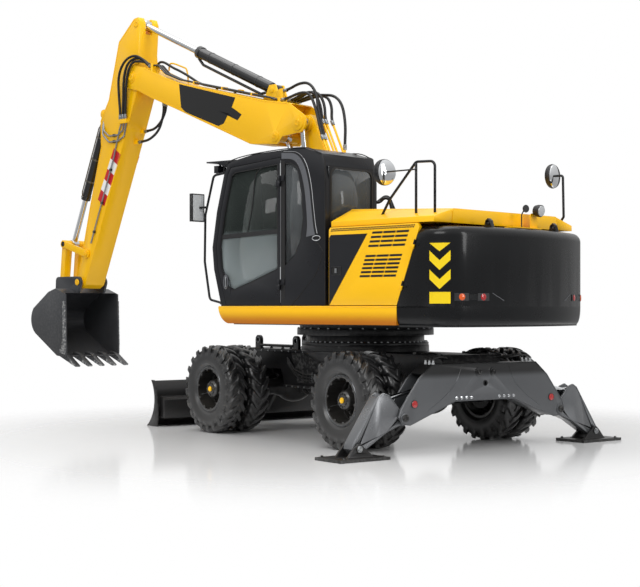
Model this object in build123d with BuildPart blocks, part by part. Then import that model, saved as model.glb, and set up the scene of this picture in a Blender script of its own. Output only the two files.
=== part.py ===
"""Wheeled excavator with a two-piece boom, a dozer blade and two stabilisers.

Millimetres.  +X points forward to the blade, +Y left and +Z up; the origin is on the
ground under the centre of the slew ring.  The upper structure, its cab and its boom are
drawn facing +X, and put() turns them by SLEW on the slew ring as they are written.
"""

import os
from math import atan2, cos, degrees, hypot, radians, sin

from build123d import *

os.makedirs("parts", exist_ok=True)

# ---------------------------------------------------------------- driving dimensions

SLEW = 9.3                        # degrees that the upper structure is turned to the left

TYRE_R = 526                      # 10.00-20 tyre, outer radius
TYRE_W = 275
TWIN_SPACING = 320                # between the centres of twin tyres
OUTER_TYRE_Y = 1152.5             # centre of the outer tyre
RIM_R = 254                       # bead seat of a 20 inch rim
RIM_HALF_W = 100
FRONT_AXLE_X = 1450
REAR_AXLE_X = -1150
KINGPIN_Y = 640
HUB_BORE_R = 70.4
SPINDLE_R = 70
BEARING_GAP = 0.3                 # radial play that a pin has in its bore
SIDE_GAP = 0.5                    # side play between an eye and its lugs

FRAME_HALF_W = 415                # chassis box
FRAME_FRONT_X = 2100
FRAME_REAR_X = -1825
FRAME_TOP_Z = 1000
FRAME_BOTTOM_Z = 540
AXLE_ARCH_Z = 730                 # underside of the chassis over the axles

RING_Z = 1070                     # foot of the slew ring
RING_SPLIT_Z = 1190               # where the turning race sits on the fixed one
DECK_Z = 1310                     # underside of the upper frame
DECK_PLATE = 40

UPPER_HALF_W = 1250
SKIRT_TOP_Z = 1523
CAB_LEFT_Y = 1220
CAB_RIGHT_Y = 385
SEAT_GAP = 0.3                    # between a piece and the face that it stands on
CAB_FLOOR_Z = SKIRT_TOP_Z + SEAT_GAP
CAB_WALL = 50
GLASS = 6
GLASS_GAP = 1

BEAM_REAR_X = -2030               # stabiliser beam: two plates with the legs between
BEAM_PLATE = 22
LEG_GAP = 8
BLADE_HALF_W = 1330

# Pins of the working equipment, (forward, up) in the upper structure's own frame.
BOOM_FOOT = (60, 1850)
LIFT_FOOT = (620, 1450)
BOOM_KNEE = (920, 3740)
ADJUST_FOOT = (560, 2250)
ADJUST_EYE = (1320, 3610)
ADJUST_RAM_W = 80                 # width of the adjusting ram's eyes
DIPPER_PIVOT = (4140, 4665)
DIPPER_RAM_FOOT = (1490, 4215)
DIPPER_RAM_EYE = (4080, 5395)
BUCKET_RAM_FOOT = (4930, 4250)
ROCKER_PIVOT = (5190, 2275)
ROCKER_EYE = (5740, 2430)
LINK_EYE = (5800, 1890)
BUCKET_PIVOT = (5330, 1870)

BOOM_HALF_W = 200
BOOM_PLATE = 22
LUG_HALF_W = 82                   # lower boom's lug between the lift rams' eyes
DIPPER_HALF_W = 165
LIFT_RAM_Y = 122.5
ARM_GAP = 7                       # side play of the dipper between the boom's cheeks
BUCKET_HALF_W = 470


# ---------------------------------------------------------------- helpers

def side(y):
    """Plane at y to the left: local x forward, local y up; a positive extrude goes right."""
    return Plane.XZ.offset(-y)


def across(x):
    """Plane at station x: local x to the left, local y up; a positive extrude goes forward."""
    return Plane.YZ.offset(x)


def outline(points, radius=0):
    """Closed outline of straight runs, with all its corners rounded if radius is given."""
    with BuildLine() as border:
        Polyline(*points, close=True)
    face = make_face(border.edges())
    if radius:
        fillet(face.vertices(), radius)


def along(start, end, run, offset=0):
    """Point at a distance run from start towards end, moved offset to the left of the line."""
    length = hypot(end[0] - start[0], end[1] - start[1])
    ux, uy = (end[0] - start[0]) / length, (end[1] - start[1]) / length
    return (start[0] + ux * run - uy * offset, start[1] + uy * run + ux * offset)


def put(builder, name, turned=False):
    """Label a finished piece, turn it with the upper structure if asked, and write it."""
    piece = builder.part
    if turned:
        piece = piece.rotate(Axis.Z, SLEW)
    piece.label = name
    export_step(piece, f"parts/{name}.step")


def tube_run(points, radius, bend=60):
    """Round tube along straight runs joined by bends."""
    with BuildLine() as path:
        FilletPolyline(*points, radius=bend)
    start = path.line @ 0
    with BuildSketch(Plane(origin=start, z_dir=path.line % 0)) as disc:
        Circle(radius)
    sweep(disc.sketch, path=path.line)


# ---------------------------------------------------------------- wheels and axles

# name, axle station, side of the vehicle (+1 left, -1 right)
WHEELS = [
    ("front_left", FRONT_AXLE_X, 1),
    ("front_right", FRONT_AXLE_X, -1),
    ("rear_left", REAR_AXLE_X, 1),
    ("rear_right", REAR_AXLE_X, -1),
]

BEAD_HALF_W = 86
DISC_Y = OUTER_TYRE_Y - TWIN_SPACING / 2
HUB_INNER_Y = DISC_Y - 92
HUB_OUTER_Y = 1226
SPINDLE_END_Y = HUB_OUTER_Y - 80


for name, axle_x, hand in WHEELS:
    axle = Axis((axle_x, 0, TYRE_R), (0, 1, 0))
    with BuildPart() as tyres:
        for centre in (OUTER_TYRE_Y, OUTER_TYRE_Y - TWIN_SPACING):
            with BuildSketch(across(axle_x)) as section:
                with BuildLine() as border:
                    bead = TYRE_R + RIM_R + BEARING_GAP
                    wall_foot = bead + 26
                    tread = 2 * TYRE_R
                    half = TYRE_W / 2
                    c = centre
                    Polyline((c - BEAD_HALF_W, wall_foot), (c - BEAD_HALF_W, bead),
                             (c + BEAD_HALF_W, bead), (c + BEAD_HALF_W, wall_foot))
                    ThreePointArc((c + BEAD_HALF_W, wall_foot), (c + half, TYRE_R + 390),
                                  (c + half - 16, tread - 30))
                    ThreePointArc((c + half - 16, tread - 30), (c + half - 24, tread - 9),
                                  (c + half - 44, tread))
                    Line((c + half - 44, tread), (c - half + 44, tread))
                    ThreePointArc((c - half + 44, tread), (c - half + 24, tread - 9),
                                  (c - half + 16, tread - 30))
                    ThreePointArc((c - half + 16, tread - 30), (c - half, TYRE_R + 390),
                                  (c - BEAD_HALF_W, wall_foot))
                make_face()
            revolve(axis=axle)
        if hand < 0:
            mirror(about=Plane.XZ, mode=Mode.REPLACE)
    put(tyres, f"{name}_tyres")

    with BuildPart() as rim:
        with BuildSketch(across(axle_x)):
            for centre in (OUTER_TYRE_Y, OUTER_TYRE_Y - TWIN_SPACING):
                with Locations((centre, TYRE_R + RIM_R - 5)):
                    Rectangle(2 * RIM_HALF_W, 10)
                with Locations((centre - RIM_HALF_W + 6, TYRE_R + RIM_R + 6),
                               (centre + RIM_HALF_W - 6, TYRE_R + RIM_R + 6)):
                    Rectangle(12, 34)
            with Locations((DISC_Y, TYRE_R + RIM_R - 10)):
                Rectangle(TWIN_SPACING - 2 * RIM_HALF_W, 16)
            with Locations((DISC_Y, TYRE_R + 180)):
                Rectangle(18, 140)
            outline([(HUB_INNER_Y, TYRE_R + HUB_BORE_R), (HUB_INNER_Y, TYRE_R + 112),
                     (DISC_Y - 40, TYRE_R + 128), (1150, TYRE_R + 118), (1205, TYRE_R + 104),
                     (HUB_OUTER_Y, TYRE_R + 84), (HUB_OUTER_Y, TYRE_R),
                     (SPINDLE_END_Y + 4, TYRE_R), (SPINDLE_END_Y + 4, TYRE_R + HUB_BORE_R)])
        revolve(axis=axle)
        with BuildSketch(Plane(origin=(axle_x, DISC_Y - 40, TYRE_R), x_dir=(1, 0, 0),
                               z_dir=(0, 1, 0))):
            with PolarLocations(186, 8):
                Circle(27)
        extrude(amount=80, mode=Mode.SUBTRACT)
        with Locations(Plane(origin=(axle_x, HUB_OUTER_Y, TYRE_R), x_dir=(1, 0, 0),
                             z_dir=(0, 1, 0))):
            Cylinder(30, 14, align=(Align.CENTER, Align.CENTER, Align.MIN))
        if hand < 0:
            mirror(about=Plane.XZ, mode=Mode.REPLACE)
    put(rim, f"{name}_rims")


def spindle(axle_x):
    """Round spindle with its brake flange, out from the kingpin into the hub."""
    with BuildSketch(across(axle_x)) as section:
        outline([(KINGPIN_Y + 40, TYRE_R), (KINGPIN_Y + 40, TYRE_R + 92),
                 (745, TYRE_R + 100), (745, TYRE_R + 168), (775, TYRE_R + 168),
                 (800, TYRE_R + 96), (HUB_INNER_Y - 6, TYRE_R + 86),
                 (HUB_INNER_Y - 6, TYRE_R + SPINDLE_R), (SPINDLE_END_Y, TYRE_R + SPINDLE_R),
                 (SPINDLE_END_Y, TYRE_R)])
    revolve(section.sketch, axis=Axis((axle_x, 0, TYRE_R), (0, 1, 0)))


YOKE_GAP_HALF = 130               # half the opening of the axle's yoke
YOKE_PLATE = 35
KINGPIN_R = 35
STEER_ARM = 280                   # kingpin to tie rod joint
STEER_ARM_Z = 470
STUD_R = 14

for name, hand in (("left", 1), ("right", -1)):
    with BuildPart() as knuckle:
        with Locations((FRONT_AXLE_X, KINGPIN_Y, TYRE_R)):
            Cylinder(72, 2 * YOKE_GAP_HALF - 1)
        spindle(FRONT_AXLE_X)
        with BuildSketch(Plane.XY.offset(STEER_ARM_Z)):
            with BuildLine():
                Polyline((FRONT_AXLE_X, KINGPIN_Y - 45), (FRONT_AXLE_X + STEER_ARM, KINGPIN_Y - 26),
                         (FRONT_AXLE_X + STEER_ARM, KINGPIN_Y + 26),
                         (FRONT_AXLE_X, KINGPIN_Y + 45), close=True)
            make_face()
            with Locations((FRONT_AXLE_X + STEER_ARM, KINGPIN_Y)):
                Circle(34)
        extrude(amount=30)
        with Locations((FRONT_AXLE_X, KINGPIN_Y, TYRE_R)):
            Cylinder(KINGPIN_R + BEARING_GAP, 400, mode=Mode.SUBTRACT)
        with Locations((FRONT_AXLE_X + STEER_ARM, KINGPIN_Y, STEER_ARM_Z)):
            Cylinder(STUD_R + BEARING_GAP, 100, mode=Mode.SUBTRACT)
        if hand < 0:
            mirror(about=Plane.XZ, mode=Mode.REPLACE)
    put(knuckle, f"steering_knuckle_{name}")

with BuildPart() as tie_rod:
    with BuildSketch(side(KINGPIN_Y)):
        with Locations((FRONT_AXLE_X + STEER_ARM, STEER_ARM_Z - 30)):
            Circle(20)
    extrude(amount=2 * KINGPIN_Y)
    with Locations((FRONT_AXLE_X + STEER_ARM, KINGPIN_Y, STEER_ARM_Z - 30),
                   (FRONT_AXLE_X + STEER_ARM, -KINGPIN_Y, STEER_ARM_Z - 30)):
        Cylinder(30, 59)
        Cylinder(STUD_R, 70, align=(Align.CENTER, Align.CENTER, Align.MIN))
put(tie_rod, "tie_rod")


def axle_housing(axle_x, half_length, pinion_to):
    """Axle tube, the swollen differential bowl and the neck of its pinion."""
    with BuildSketch(across(axle_x)) as section:
        with BuildLine():
            Polyline((-half_length, TYRE_R), (-half_length, TYRE_R + 92), (-300, TYRE_R + 98),
                     (-190, TYRE_R + 130))
            ThreePointArc((-190, TYRE_R + 130), (0, TYRE_R + 200), (190, TYRE_R + 130))
            Polyline((190, TYRE_R + 130), (300, TYRE_R + 98), (half_length, TYRE_R + 92),
                     (half_length, TYRE_R), (-half_length, TYRE_R))
        make_face()
    revolve(section.sketch, axis=Axis((axle_x, 0, TYRE_R), (0, 1, 0)))
    with BuildSketch(across(min(axle_x, pinion_to))) as neck:
        with Locations((0, TYRE_R)):
            Circle(78)
    extrude(neck.sketch, amount=abs(axle_x - pinion_to))
    with BuildSketch(across(pinion_to - (0 if pinion_to < axle_x else 20))) as flange:
        with Locations((0, TYRE_R)):
            Circle(95)
    extrude(flange.sketch, amount=20)


SWING_PIN_Z = 690                 # pin on which the front axle rocks
SWING_LUG_X = 245                 # fore and aft of the axle

with BuildPart() as front_axle:
    axle_housing(FRONT_AXLE_X, 540, FRONT_AXLE_X - 330)
    for hand in (1, -1):
        with Locations((FRONT_AXLE_X, hand * 520, TYRE_R)):
            Box(160, 40, 2 * (YOKE_GAP_HALF + YOKE_PLATE))
        for base in (TYRE_R - YOKE_GAP_HALF - YOKE_PLATE, TYRE_R + YOKE_GAP_HALF):
            with BuildSketch(Plane.XY.offset(base)):
                with Locations((FRONT_AXLE_X, hand * (500 + KINGPIN_Y) / 2)):
                    Rectangle(160, KINGPIN_Y - 500)
                with Locations((FRONT_AXLE_X, hand * KINGPIN_Y)):
                    Circle(80)
            extrude(amount=YOKE_PLATE)
        with Locations((FRONT_AXLE_X, hand * KINGPIN_Y, TYRE_R)):
            Cylinder(KINGPIN_R, 2 * (YOKE_GAP_HALF + YOKE_PLATE) + 16)
    with BuildSketch(across(FRONT_AXLE_X - SWING_LUG_X + 42)):
        with Locations((0, SWING_PIN_Z)):
            Circle(62)
        with Locations((0, SWING_PIN_Z - 60)):
            Rectangle(150, 120)
    extrude(amount=2 * SWING_LUG_X - 84)
    with BuildSketch(across(FRONT_AXLE_X - SWING_LUG_X - 30)):
        with Locations((0, SWING_PIN_Z)):
            Circle(34)
    extrude(amount=2 * SWING_LUG_X + 60)
put(front_axle, "front_axle")

with BuildPart() as rear_axle:
    axle_housing(REAR_AXLE_X, 700, REAR_AXLE_X + 330)
    for hand in (1, -1):
        with BuildPart(mode=Mode.PRIVATE) as half:
            spindle(REAR_AXLE_X)
            if hand < 0:
                mirror(about=Plane.XZ, mode=Mode.REPLACE)
        add(half.part)
        with Locations((REAR_AXLE_X, hand * 300, (TYRE_R + AXLE_ARCH_Z) / 2)):
            Box(230, 150, AXLE_ARCH_Z - TYRE_R)
put(rear_axle, "rear_axle")

# ---------------------------------------------------------------- chassis

TOP_LUG_X = (1680, 880)
TUNNEL_HALF_W = 250
TUNNEL_TOP_Z = 670
TOP_LUG_Y = 360
TOP_LUG_T = 40
TOP_LUG_Z = 1105
TOP_LUG_HOLE_R = 30
BLADE_PIVOT = (2190, 520)
BLADE_ARM_Y = 300
BLADE_RAM_FOOT = (2185, 850)
BLADE_RAM_EYE = (2480, 470)
BLADE_RAM_Y = 150
BLADE_PIN_R = 25

with BuildPart() as chassis:
    with BuildSketch(Plane.XZ):
        outline([(FRAME_FRONT_X, FRAME_BOTTOM_Z - 60), (FRAME_FRONT_X, 905), (2030, FRAME_TOP_Z),
                 (-1760, FRAME_TOP_Z), (FRAME_REAR_X, 920), (FRAME_REAR_X, 590),
                 (-1500, 590), (-1420, AXLE_ARCH_Z), (-880, AXLE_ARCH_Z),
                 (-790, FRAME_BOTTOM_Z), (1050, FRAME_BOTTOM_Z), (1130, AXLE_ARCH_Z + 30),
                 (1770, AXLE_ARCH_Z + 30), (1850, FRAME_BOTTOM_Z - 60)])
    extrude(amount=FRAME_HALF_W, both=True)
    with BuildSketch(Plane.XY.offset(880)):
        Circle(600)
    with BuildSketch(Plane.XY.offset(FRAME_TOP_Z)):
        Circle(745)
    loft()
    with Locations((0, 0, FRAME_TOP_Z)):
        Cylinder(745, RING_Z - FRAME_TOP_Z, align=(Align.CENTER, Align.CENTER, Align.MIN))
    with Locations((125, 0, FRAME_BOTTOM_Z)):
        Box(2050, 2 * TUNNEL_HALF_W, 2 * (TUNNEL_TOP_Z - FRAME_BOTTOM_Z), mode=Mode.SUBTRACT)
    for hand in (1, -1):
        with BuildSketch(side(hand * (FRAME_HALF_W + 12) + 12)):
            outline([(2035, FRAME_TOP_Z - 12), (2010, FRAME_TOP_Z - 36), (430, FRAME_TOP_Z - 36),
                     (430, FRAME_TOP_Z - 12)])
            outline([(1045, FRAME_BOTTOM_Z + 2), (1045, FRAME_BOTTOM_Z + 30), (-780, FRAME_BOTTOM_Z + 30),
                     (-780, FRAME_BOTTOM_Z + 2)])
        extrude(amount=24)
        for x in TOP_LUG_X:
            with BuildSketch(side(hand * TOP_LUG_Y + TOP_LUG_T / 2)):
                with Locations((x, TOP_LUG_Z)):
                    Circle(58)
                with Locations((x, (TOP_LUG_Z + FRAME_TOP_Z) / 2)):
                    Rectangle(116, TOP_LUG_Z - FRAME_TOP_Z)
            extrude(amount=TOP_LUG_T)
            with BuildSketch(side(hand * TOP_LUG_Y + TOP_LUG_T / 2)):
                with Locations((x, TOP_LUG_Z)):
                    Circle(TOP_LUG_HOLE_R)
            extrude(amount=TOP_LUG_T, mode=Mode.SUBTRACT)
        for y, t in ((BLADE_ARM_Y + 57, 30), (BLADE_ARM_Y - 27, 30)):
            with BuildSketch(side(hand * (y - t / 2) + t / 2)):
                with Locations(BLADE_PIVOT):
                    Circle(62)
                outline([(FRAME_FRONT_X - 10, 460), (BLADE_PIVOT[0], BLADE_PIVOT[1] - 62),
                         (BLADE_PIVOT[0], BLADE_PIVOT[1] + 62), (FRAME_FRONT_X - 10, 640)])
            extrude(amount=t)
        with BuildSketch(side(hand * BLADE_ARM_Y + 75)):
            with Locations(BLADE_PIVOT):
                Circle(BLADE_PIN_R)
        extrude(amount=150)
        for y in (BLADE_RAM_Y + 42, BLADE_RAM_Y - 42):
            with BuildSketch(side(hand * y + 12)):
                with Locations(BLADE_RAM_FOOT):
                    Circle(48)
                outline([(FRAME_FRONT_X - 10, 790), (BLADE_RAM_FOOT[0], BLADE_RAM_FOOT[1] - 48),
                         (BLADE_RAM_FOOT[0], BLADE_RAM_FOOT[1] + 48), (FRAME_FRONT_X - 60, 905)])
            extrude(amount=24)
        with BuildSketch(side(hand * BLADE_RAM_Y + 54)):
            with Locations(BLADE_RAM_FOOT):
                Circle(BLADE_PIN_R)
        extrude(amount=108)
    for x in (FRONT_AXLE_X - SWING_LUG_X, FRONT_AXLE_X + SWING_LUG_X):
        with BuildSketch(across(x - 35)):
            with Locations((0, SWING_PIN_Z)):
                Circle(85)
            with Locations((0, (SWING_PIN_Z + AXLE_ARCH_Z + 35) / 2)):
                Rectangle(260, AXLE_ARCH_Z + 35 - SWING_PIN_Z)
        extrude(amount=70)
    with BuildSketch(across(FRONT_AXLE_X - 400)):
        with Locations((0, SWING_PIN_Z)):
            Circle(34 + BEARING_GAP)
    extrude(amount=800, mode=Mode.SUBTRACT)
put(chassis, "chassis_frame")

with BuildPart() as ring:
    with BuildSketch(Plane.XZ):
        outline([(560, RING_Z), (740, RING_Z), (740, RING_Z + 36), (690, RING_Z + 42),
                 (690, RING_SPLIT_Z), (560, RING_SPLIT_Z)])
    revolve(axis=Axis.Z)
put(ring, "slew_ring_fixed_race")

SHAFT_R = 42
GEARBOX_X = (-130, 280)

with BuildPart() as driveline:
    with Locations(((GEARBOX_X[0] + GEARBOX_X[1]) / 2, 0, (300 + TUNNEL_TOP_Z) / 2)):
        Box(GEARBOX_X[1] - GEARBOX_X[0], 2 * TUNNEL_HALF_W - 60, TUNNEL_TOP_Z - 300)
    for start, end in ((GEARBOX_X[1], FRONT_AXLE_X - 330), (REAR_AXLE_X + 330, GEARBOX_X[0])):
        with BuildSketch(across(start)):
            with Locations((0, TYRE_R)):
                Circle(SHAFT_R)
        extrude(amount=end - start - BEARING_GAP)
        for x in (start + 40, end - 70):
            with BuildSketch(across(x)):
                with Locations((0, TYRE_R)):
                    Circle(70)
            extrude(amount=30)
put(driveline, "gearbox_and_drive_shafts")

# ---------------------------------------------------------------- stabilisers

LEG_PIVOT = (1120, 390)           # (left, up)
LEG_RAM_EYE = (1325, 575)
LEG_RAM_FOOT = (105, 830)
PAD_PIN = (1700, 115)
LEG_PIN_R = 32
PAD_HALF_L = 310
PAD_HALF_W = 210
BEAM_FRONT_X = FRAME_REAR_X
LEG_REAR_X = BEAM_REAR_X + BEAM_PLATE + LEG_GAP
LEG_FRONT_X = BEAM_FRONT_X - BEAM_PLATE - LEG_GAP
LEG_MID_X = (LEG_REAR_X + LEG_FRONT_X) / 2

BEAM_OUTLINE = [(750, 920), (925, 780), (1165, 480), (1190, 400), (1150, 325), (1040, 310),
                (430, 530), (-430, 530), (-1040, 310), (-1150, 325), (-1190, 400),
                (-1165, 480), (-925, 780), (-750, 920)]

with BuildPart() as beam:
    for x in (BEAM_REAR_X, BEAM_FRONT_X - BEAM_PLATE):
        with BuildSketch(across(x)):
            outline(BEAM_OUTLINE)
            with Locations((0, 710)):
                Circle(26, mode=Mode.SUBTRACT)
        extrude(amount=BEAM_PLATE)
    inner = BEAM_FRONT_X - BEAM_REAR_X
    for hand in (1, -1):
        with BuildSketch(across(BEAM_REAR_X)):
            outline([(0, 530), (hand * 430, 530), (hand * 1000, 324), (hand * 1000, 340),
                     (hand * 434, 546), (0, 546)])
            outline([(0, 904), (0, 920), (hand * 750, 920), (hand * 860, 832),
                     (hand * 850, 820), (hand * 744, 904)])
        extrude(amount=inner)
        with BuildSketch(across(BEAM_REAR_X - 26)):
            with Locations((hand * LEG_PIVOT[0], LEG_PIVOT[1])):
                Circle(LEG_PIN_R)
        extrude(amount=inner + 40)
        with BuildSketch(across(BEAM_REAR_X - 14)):
            with Locations((hand * LEG_PIVOT[0], LEG_PIVOT[1])):
                Circle(52)
            with Locations((hand * LEG_RAM_FOOT[0], LEG_RAM_FOOT[1])):
                Circle(40)
        extrude(amount=14)
        with BuildSketch(across(BEAM_REAR_X - 24)):
            with Locations((hand * LEG_RAM_FOOT[0], LEG_RAM_FOOT[1])):
                Circle(24)
        extrude(amount=inner + 24)
put(beam, "stabiliser_beam")


def eye_ring(plane_at, centre, outer_r, hole_r, width):
    """Eye of a ram: a ring of the given width on the plane, with its pin hole."""
    with BuildSketch(plane_at) as ring_face:
        with Locations(centre):
            Circle(outer_r)
            Circle(hole_r, mode=Mode.SUBTRACT)
    extrude(ring_face.sketch, amount=width)


GLAND_LENGTH = 70
GLAND_STEP = 5


def ram(name, foot, eye, plane, width, tube_r, rod_r, tube_len, foot_r, foot_hole_r, eye_r,
        reach=60, neck_len=24, turned=True, copies=(0,)):
    """Barrel and rod of one ram, or of a row of like ones, between two pins on a plane.

    foot and eye are the pins on the plane; width is the eyes' width; reach is how far the
    rod can still slide in; copies are the distances along the plane's normal of each ram.
    """
    length = hypot(eye[0] - foot[0], eye[1] - foot[1])
    bore_r = rod_r + BEARING_GAP
    x_dir = plane.from_local_coords(Vector(eye[0], eye[1], 0)) - plane.from_local_coords(
        Vector(foot[0], foot[1], 0))
    barrel_name, rod_name = f"{name}_barrel", f"{name}_rod"
    if len(copies) > 1:
        barrel_name, rod_name = f"{name}_barrels", f"{name}_rods"

    with BuildPart() as barrel:
        for shift in copies:
            start = plane.from_local_coords(Vector(foot[0], foot[1], shift))
            line = Plane(origin=start, x_dir=plane.z_dir, z_dir=x_dir)
            with BuildSketch(line) as neck:
                Rectangle(width, 1.3 * foot_r)
            extrude(neck.sketch, amount=foot_r + neck_len)
            with BuildSketch(line.offset(foot_r + neck_len)) as tube:
                Circle(tube_r)
            extrude(tube.sketch, amount=tube_len - foot_r - neck_len)
            with BuildSketch(line.offset(tube_len - GLAND_LENGTH)) as gland:
                Circle(tube_r + GLAND_STEP)
            extrude(gland.sketch, amount=GLAND_LENGTH)
            eye_ring(plane.offset(shift - width / 2), foot, foot_r, foot_hole_r, width)
            with BuildSketch(line.offset(foot_r + 30)) as bore:
                Circle(bore_r)
            extrude(bore.sketch, amount=tube_len, mode=Mode.SUBTRACT)
            with BuildSketch(plane.offset(shift - width / 2)) as hole:
                with Locations(foot):
                    Circle(foot_hole_r)
            extrude(hole.sketch, amount=width, mode=Mode.SUBTRACT)
    put(barrel, barrel_name, turned)

    with BuildPart() as rod:
        for shift in copies:
            start = plane.from_local_coords(Vector(foot[0], foot[1], shift))
            line = Plane(origin=start, x_dir=plane.z_dir, z_dir=x_dir)
            with BuildSketch(line.offset(foot_r + 30 + reach)) as bar:
                Circle(rod_r)
            extrude(bar.sketch, amount=length - foot_r - 30 - reach)
            eye_ring(plane.offset(shift - width / 2), eye, eye_r, foot_hole_r, width)
            with BuildSketch(plane.offset(shift - width / 2)) as hole:
                with Locations(eye):
                    Circle(foot_hole_r)
            extrude(hole.sketch, amount=width, mode=Mode.SUBTRACT)
    put(rod, rod_name, turned)


LEG_OUTLINE = [(1045, 350), (1075, 322), (1170, 310), (1330, 250), (1640, 70), (1725, 60),
               (1765, 110), (1745, 170), (1430, 620), (1370, 655), (1290, 630), (1160, 490),
               (1060, 440)]
LEG_CHEEK = 20

for name, hand in (("left", 1), ("right", -1)):
    with BuildPart() as leg:
        with BuildSketch(across(LEG_REAR_X)):
            outline(LEG_OUTLINE)
        extrude(amount=LEG_FRONT_X - LEG_REAR_X)
        with BuildSketch(across(LEG_REAR_X + LEG_CHEEK)):
            outline([(1160, 700), (1000, 520), (1150, 470), (1260, 480), (1380, 520), (1440, 640)])
        extrude(amount=LEG_FRONT_X - LEG_REAR_X - 2 * LEG_CHEEK, mode=Mode.SUBTRACT)
        with BuildSketch(across(LEG_REAR_X)):
            with Locations(LEG_PIVOT):
                Circle(LEG_PIN_R + BEARING_GAP)
            with Locations(PAD_PIN):
                Circle(24 + BEARING_GAP)
        extrude(amount=LEG_FRONT_X - LEG_REAR_X, mode=Mode.SUBTRACT)
        if hand < 0:
            mirror(about=Plane.XZ, mode=Mode.REPLACE)
    put(leg, f"stabiliser_leg_{name}")

    with BuildPart() as pad:
        with Locations((LEG_MID_X, PAD_PIN[0], 15)):
            Box(2 * PAD_HALF_W, 2 * PAD_HALF_L, 30)
        for x in (LEG_REAR_X - 30, LEG_FRONT_X + 8):
            with BuildSketch(across(x)):
                outline([(PAD_PIN[0] - 190, 30), (PAD_PIN[0] + 150, 30), (PAD_PIN[0] + 60, 130),
                         (PAD_PIN[0] + 20, 165), (PAD_PIN[0] - 20, 165), (PAD_PIN[0] - 60, 130)])
            extrude(amount=22)
        with BuildSketch(across(LEG_REAR_X - 44)):
            with Locations(PAD_PIN):
                Circle(24)
        extrude(amount=LEG_FRONT_X - LEG_REAR_X + 88)
        if hand < 0:
            mirror(about=Plane.XZ, mode=Mode.REPLACE)
    put(pad, f"stabiliser_pad_{name}")

    ram(f"stabiliser_ram_{name}", (hand * LEG_RAM_FOOT[0], LEG_RAM_FOOT[1]),
        (hand * LEG_RAM_EYE[0], LEG_RAM_EYE[1]), across(LEG_MID_X),
        LEG_FRONT_X - LEG_REAR_X - 2 * LEG_CHEEK - 2 * SIDE_GAP, 42, 24, 740, 44,
        24 + BEARING_GAP, 42, reach=390, turned=False)

# ---------------------------------------------------------------- dozer blade

BLADE_BACK_T = 24

with BuildPart() as blade:
    with BuildSketch(Plane.XZ):
        with BuildLine():
            ThreePointArc((2795, 0), (2610, 290), (2690, 576))
            Line((2690, 576), (2690 - BLADE_BACK_T, 576))
            ThreePointArc((2690 - BLADE_BACK_T, 576), (2610 - BLADE_BACK_T, 290), (2760, 0))
            Line((2760, 0), (2795, 0))
        make_face()
    extrude(amount=BLADE_HALF_W, both=True)
    for hand in (1, -1):
        with BuildSketch(side(hand * (BLADE_HALF_W - 8) + 8)):
            with BuildLine():
                ThreePointArc((2815, 0), (2625, 290), (2702, 585))
                Polyline((2702, 585), (2640, 585), (2560, 440), (2530, 200), (2560, 0), (2815, 0))
            make_face()
        extrude(amount=16)
        with BuildSketch(side(hand * BLADE_ARM_Y + 25)):
            outline([(BLADE_PIVOT[0], BLADE_PIVOT[1] + 55), (BLADE_PIVOT[0], BLADE_PIVOT[1] - 55),
                     (2480, 120), (2600, 90), (2600, 340), (2500, 400)])
            with Locations(BLADE_PIVOT):
                Circle(55)
        extrude(amount=50)
        with BuildSketch(side(hand * BLADE_ARM_Y + 27 - 2)):
            with Locations(BLADE_PIVOT):
                Circle(BLADE_PIN_R + BEARING_GAP)
        extrude(amount=54, mode=Mode.SUBTRACT)
        for y in (BLADE_RAM_Y + 42, BLADE_RAM_Y - 42):
            with BuildSketch(side(hand * y + 12)):
                outline([(2590, 190), (2600, 420), (BLADE_RAM_EYE[0] + 10, BLADE_RAM_EYE[1] + 44),
                         (BLADE_RAM_EYE[0] - 44, BLADE_RAM_EYE[1]), (2500, 250)])
            extrude(amount=24)
    with BuildSketch(Plane.XZ):
        outline([(2470, 110), (2650, 110), (2600, 380), (2500, 380), (2470, 340)])
    extrude(amount=BLADE_HALF_W - 60, both=True)
    with BuildSketch(side(BLADE_RAM_Y + 30)):
        with Locations(BLADE_RAM_EYE):
            Circle(60)
    extrude(amount=60, mode=Mode.SUBTRACT)
    with BuildSketch(side(30 - BLADE_RAM_Y)):
        with Locations(BLADE_RAM_EYE):
            Circle(60)
    extrude(amount=60, mode=Mode.SUBTRACT)
put(blade, "dozer_blade")

ram("blade_ram", BLADE_RAM_FOOT, BLADE_RAM_EYE, Plane.XZ, 59, 38, 20, 300, 42,
    BLADE_PIN_R + BEARING_GAP, 40, reach=125, turned=False, copies=(-BLADE_RAM_Y, BLADE_RAM_Y))

# ---------------------------------------------------------------- working equipment

PIN_R = 45
LUG_PLATE_OUT = 240
FOOT_CHEEK_Y = 205                # inner faces of the boom foot's cheeks

BOOM_BACK = ((110, 2330), (800, 3780))    # rear edge of the lower boom's web
PIPE_R = 14
PIPE_STANDOFF = 90                # pipes behind the rear edge
PIPE_START = 90
PIPE_CLAMPS = (90, 560, 1040)     # their clamps' places along the edge
PIPE_CLAMP_L = 36
# name, distance to the left, run of the pipe's end along the rear edge
PIPES = [("far_left", 112, 1270), ("left", 72, 1270), ("middle", 0, 1500),
         ("right", -55, 1500), ("far_right", -165, 1500)]
HOSE_STUB = (430, -110, 3300)     # upright fitting of the one hose without a pipe
HOSE_STUB_TOP_Z = 3400
HOSE_BLOCK_X = 1290               # rear face of the block on the upper boom
HOSE_END_Z = 4066
HIGH_HOSE_END_Z = 4185
BOOM_WEB_HALF_W = 50              # the lift rams pass on both sides of it
ADJUST_LUG_T = 15                 # thin, because the lift rams pass close on both sides

BOOM_RUN = Vector(BOOM_BACK[1][0] - BOOM_BACK[0][0], 0, BOOM_BACK[1][1] - BOOM_BACK[0][1])

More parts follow.
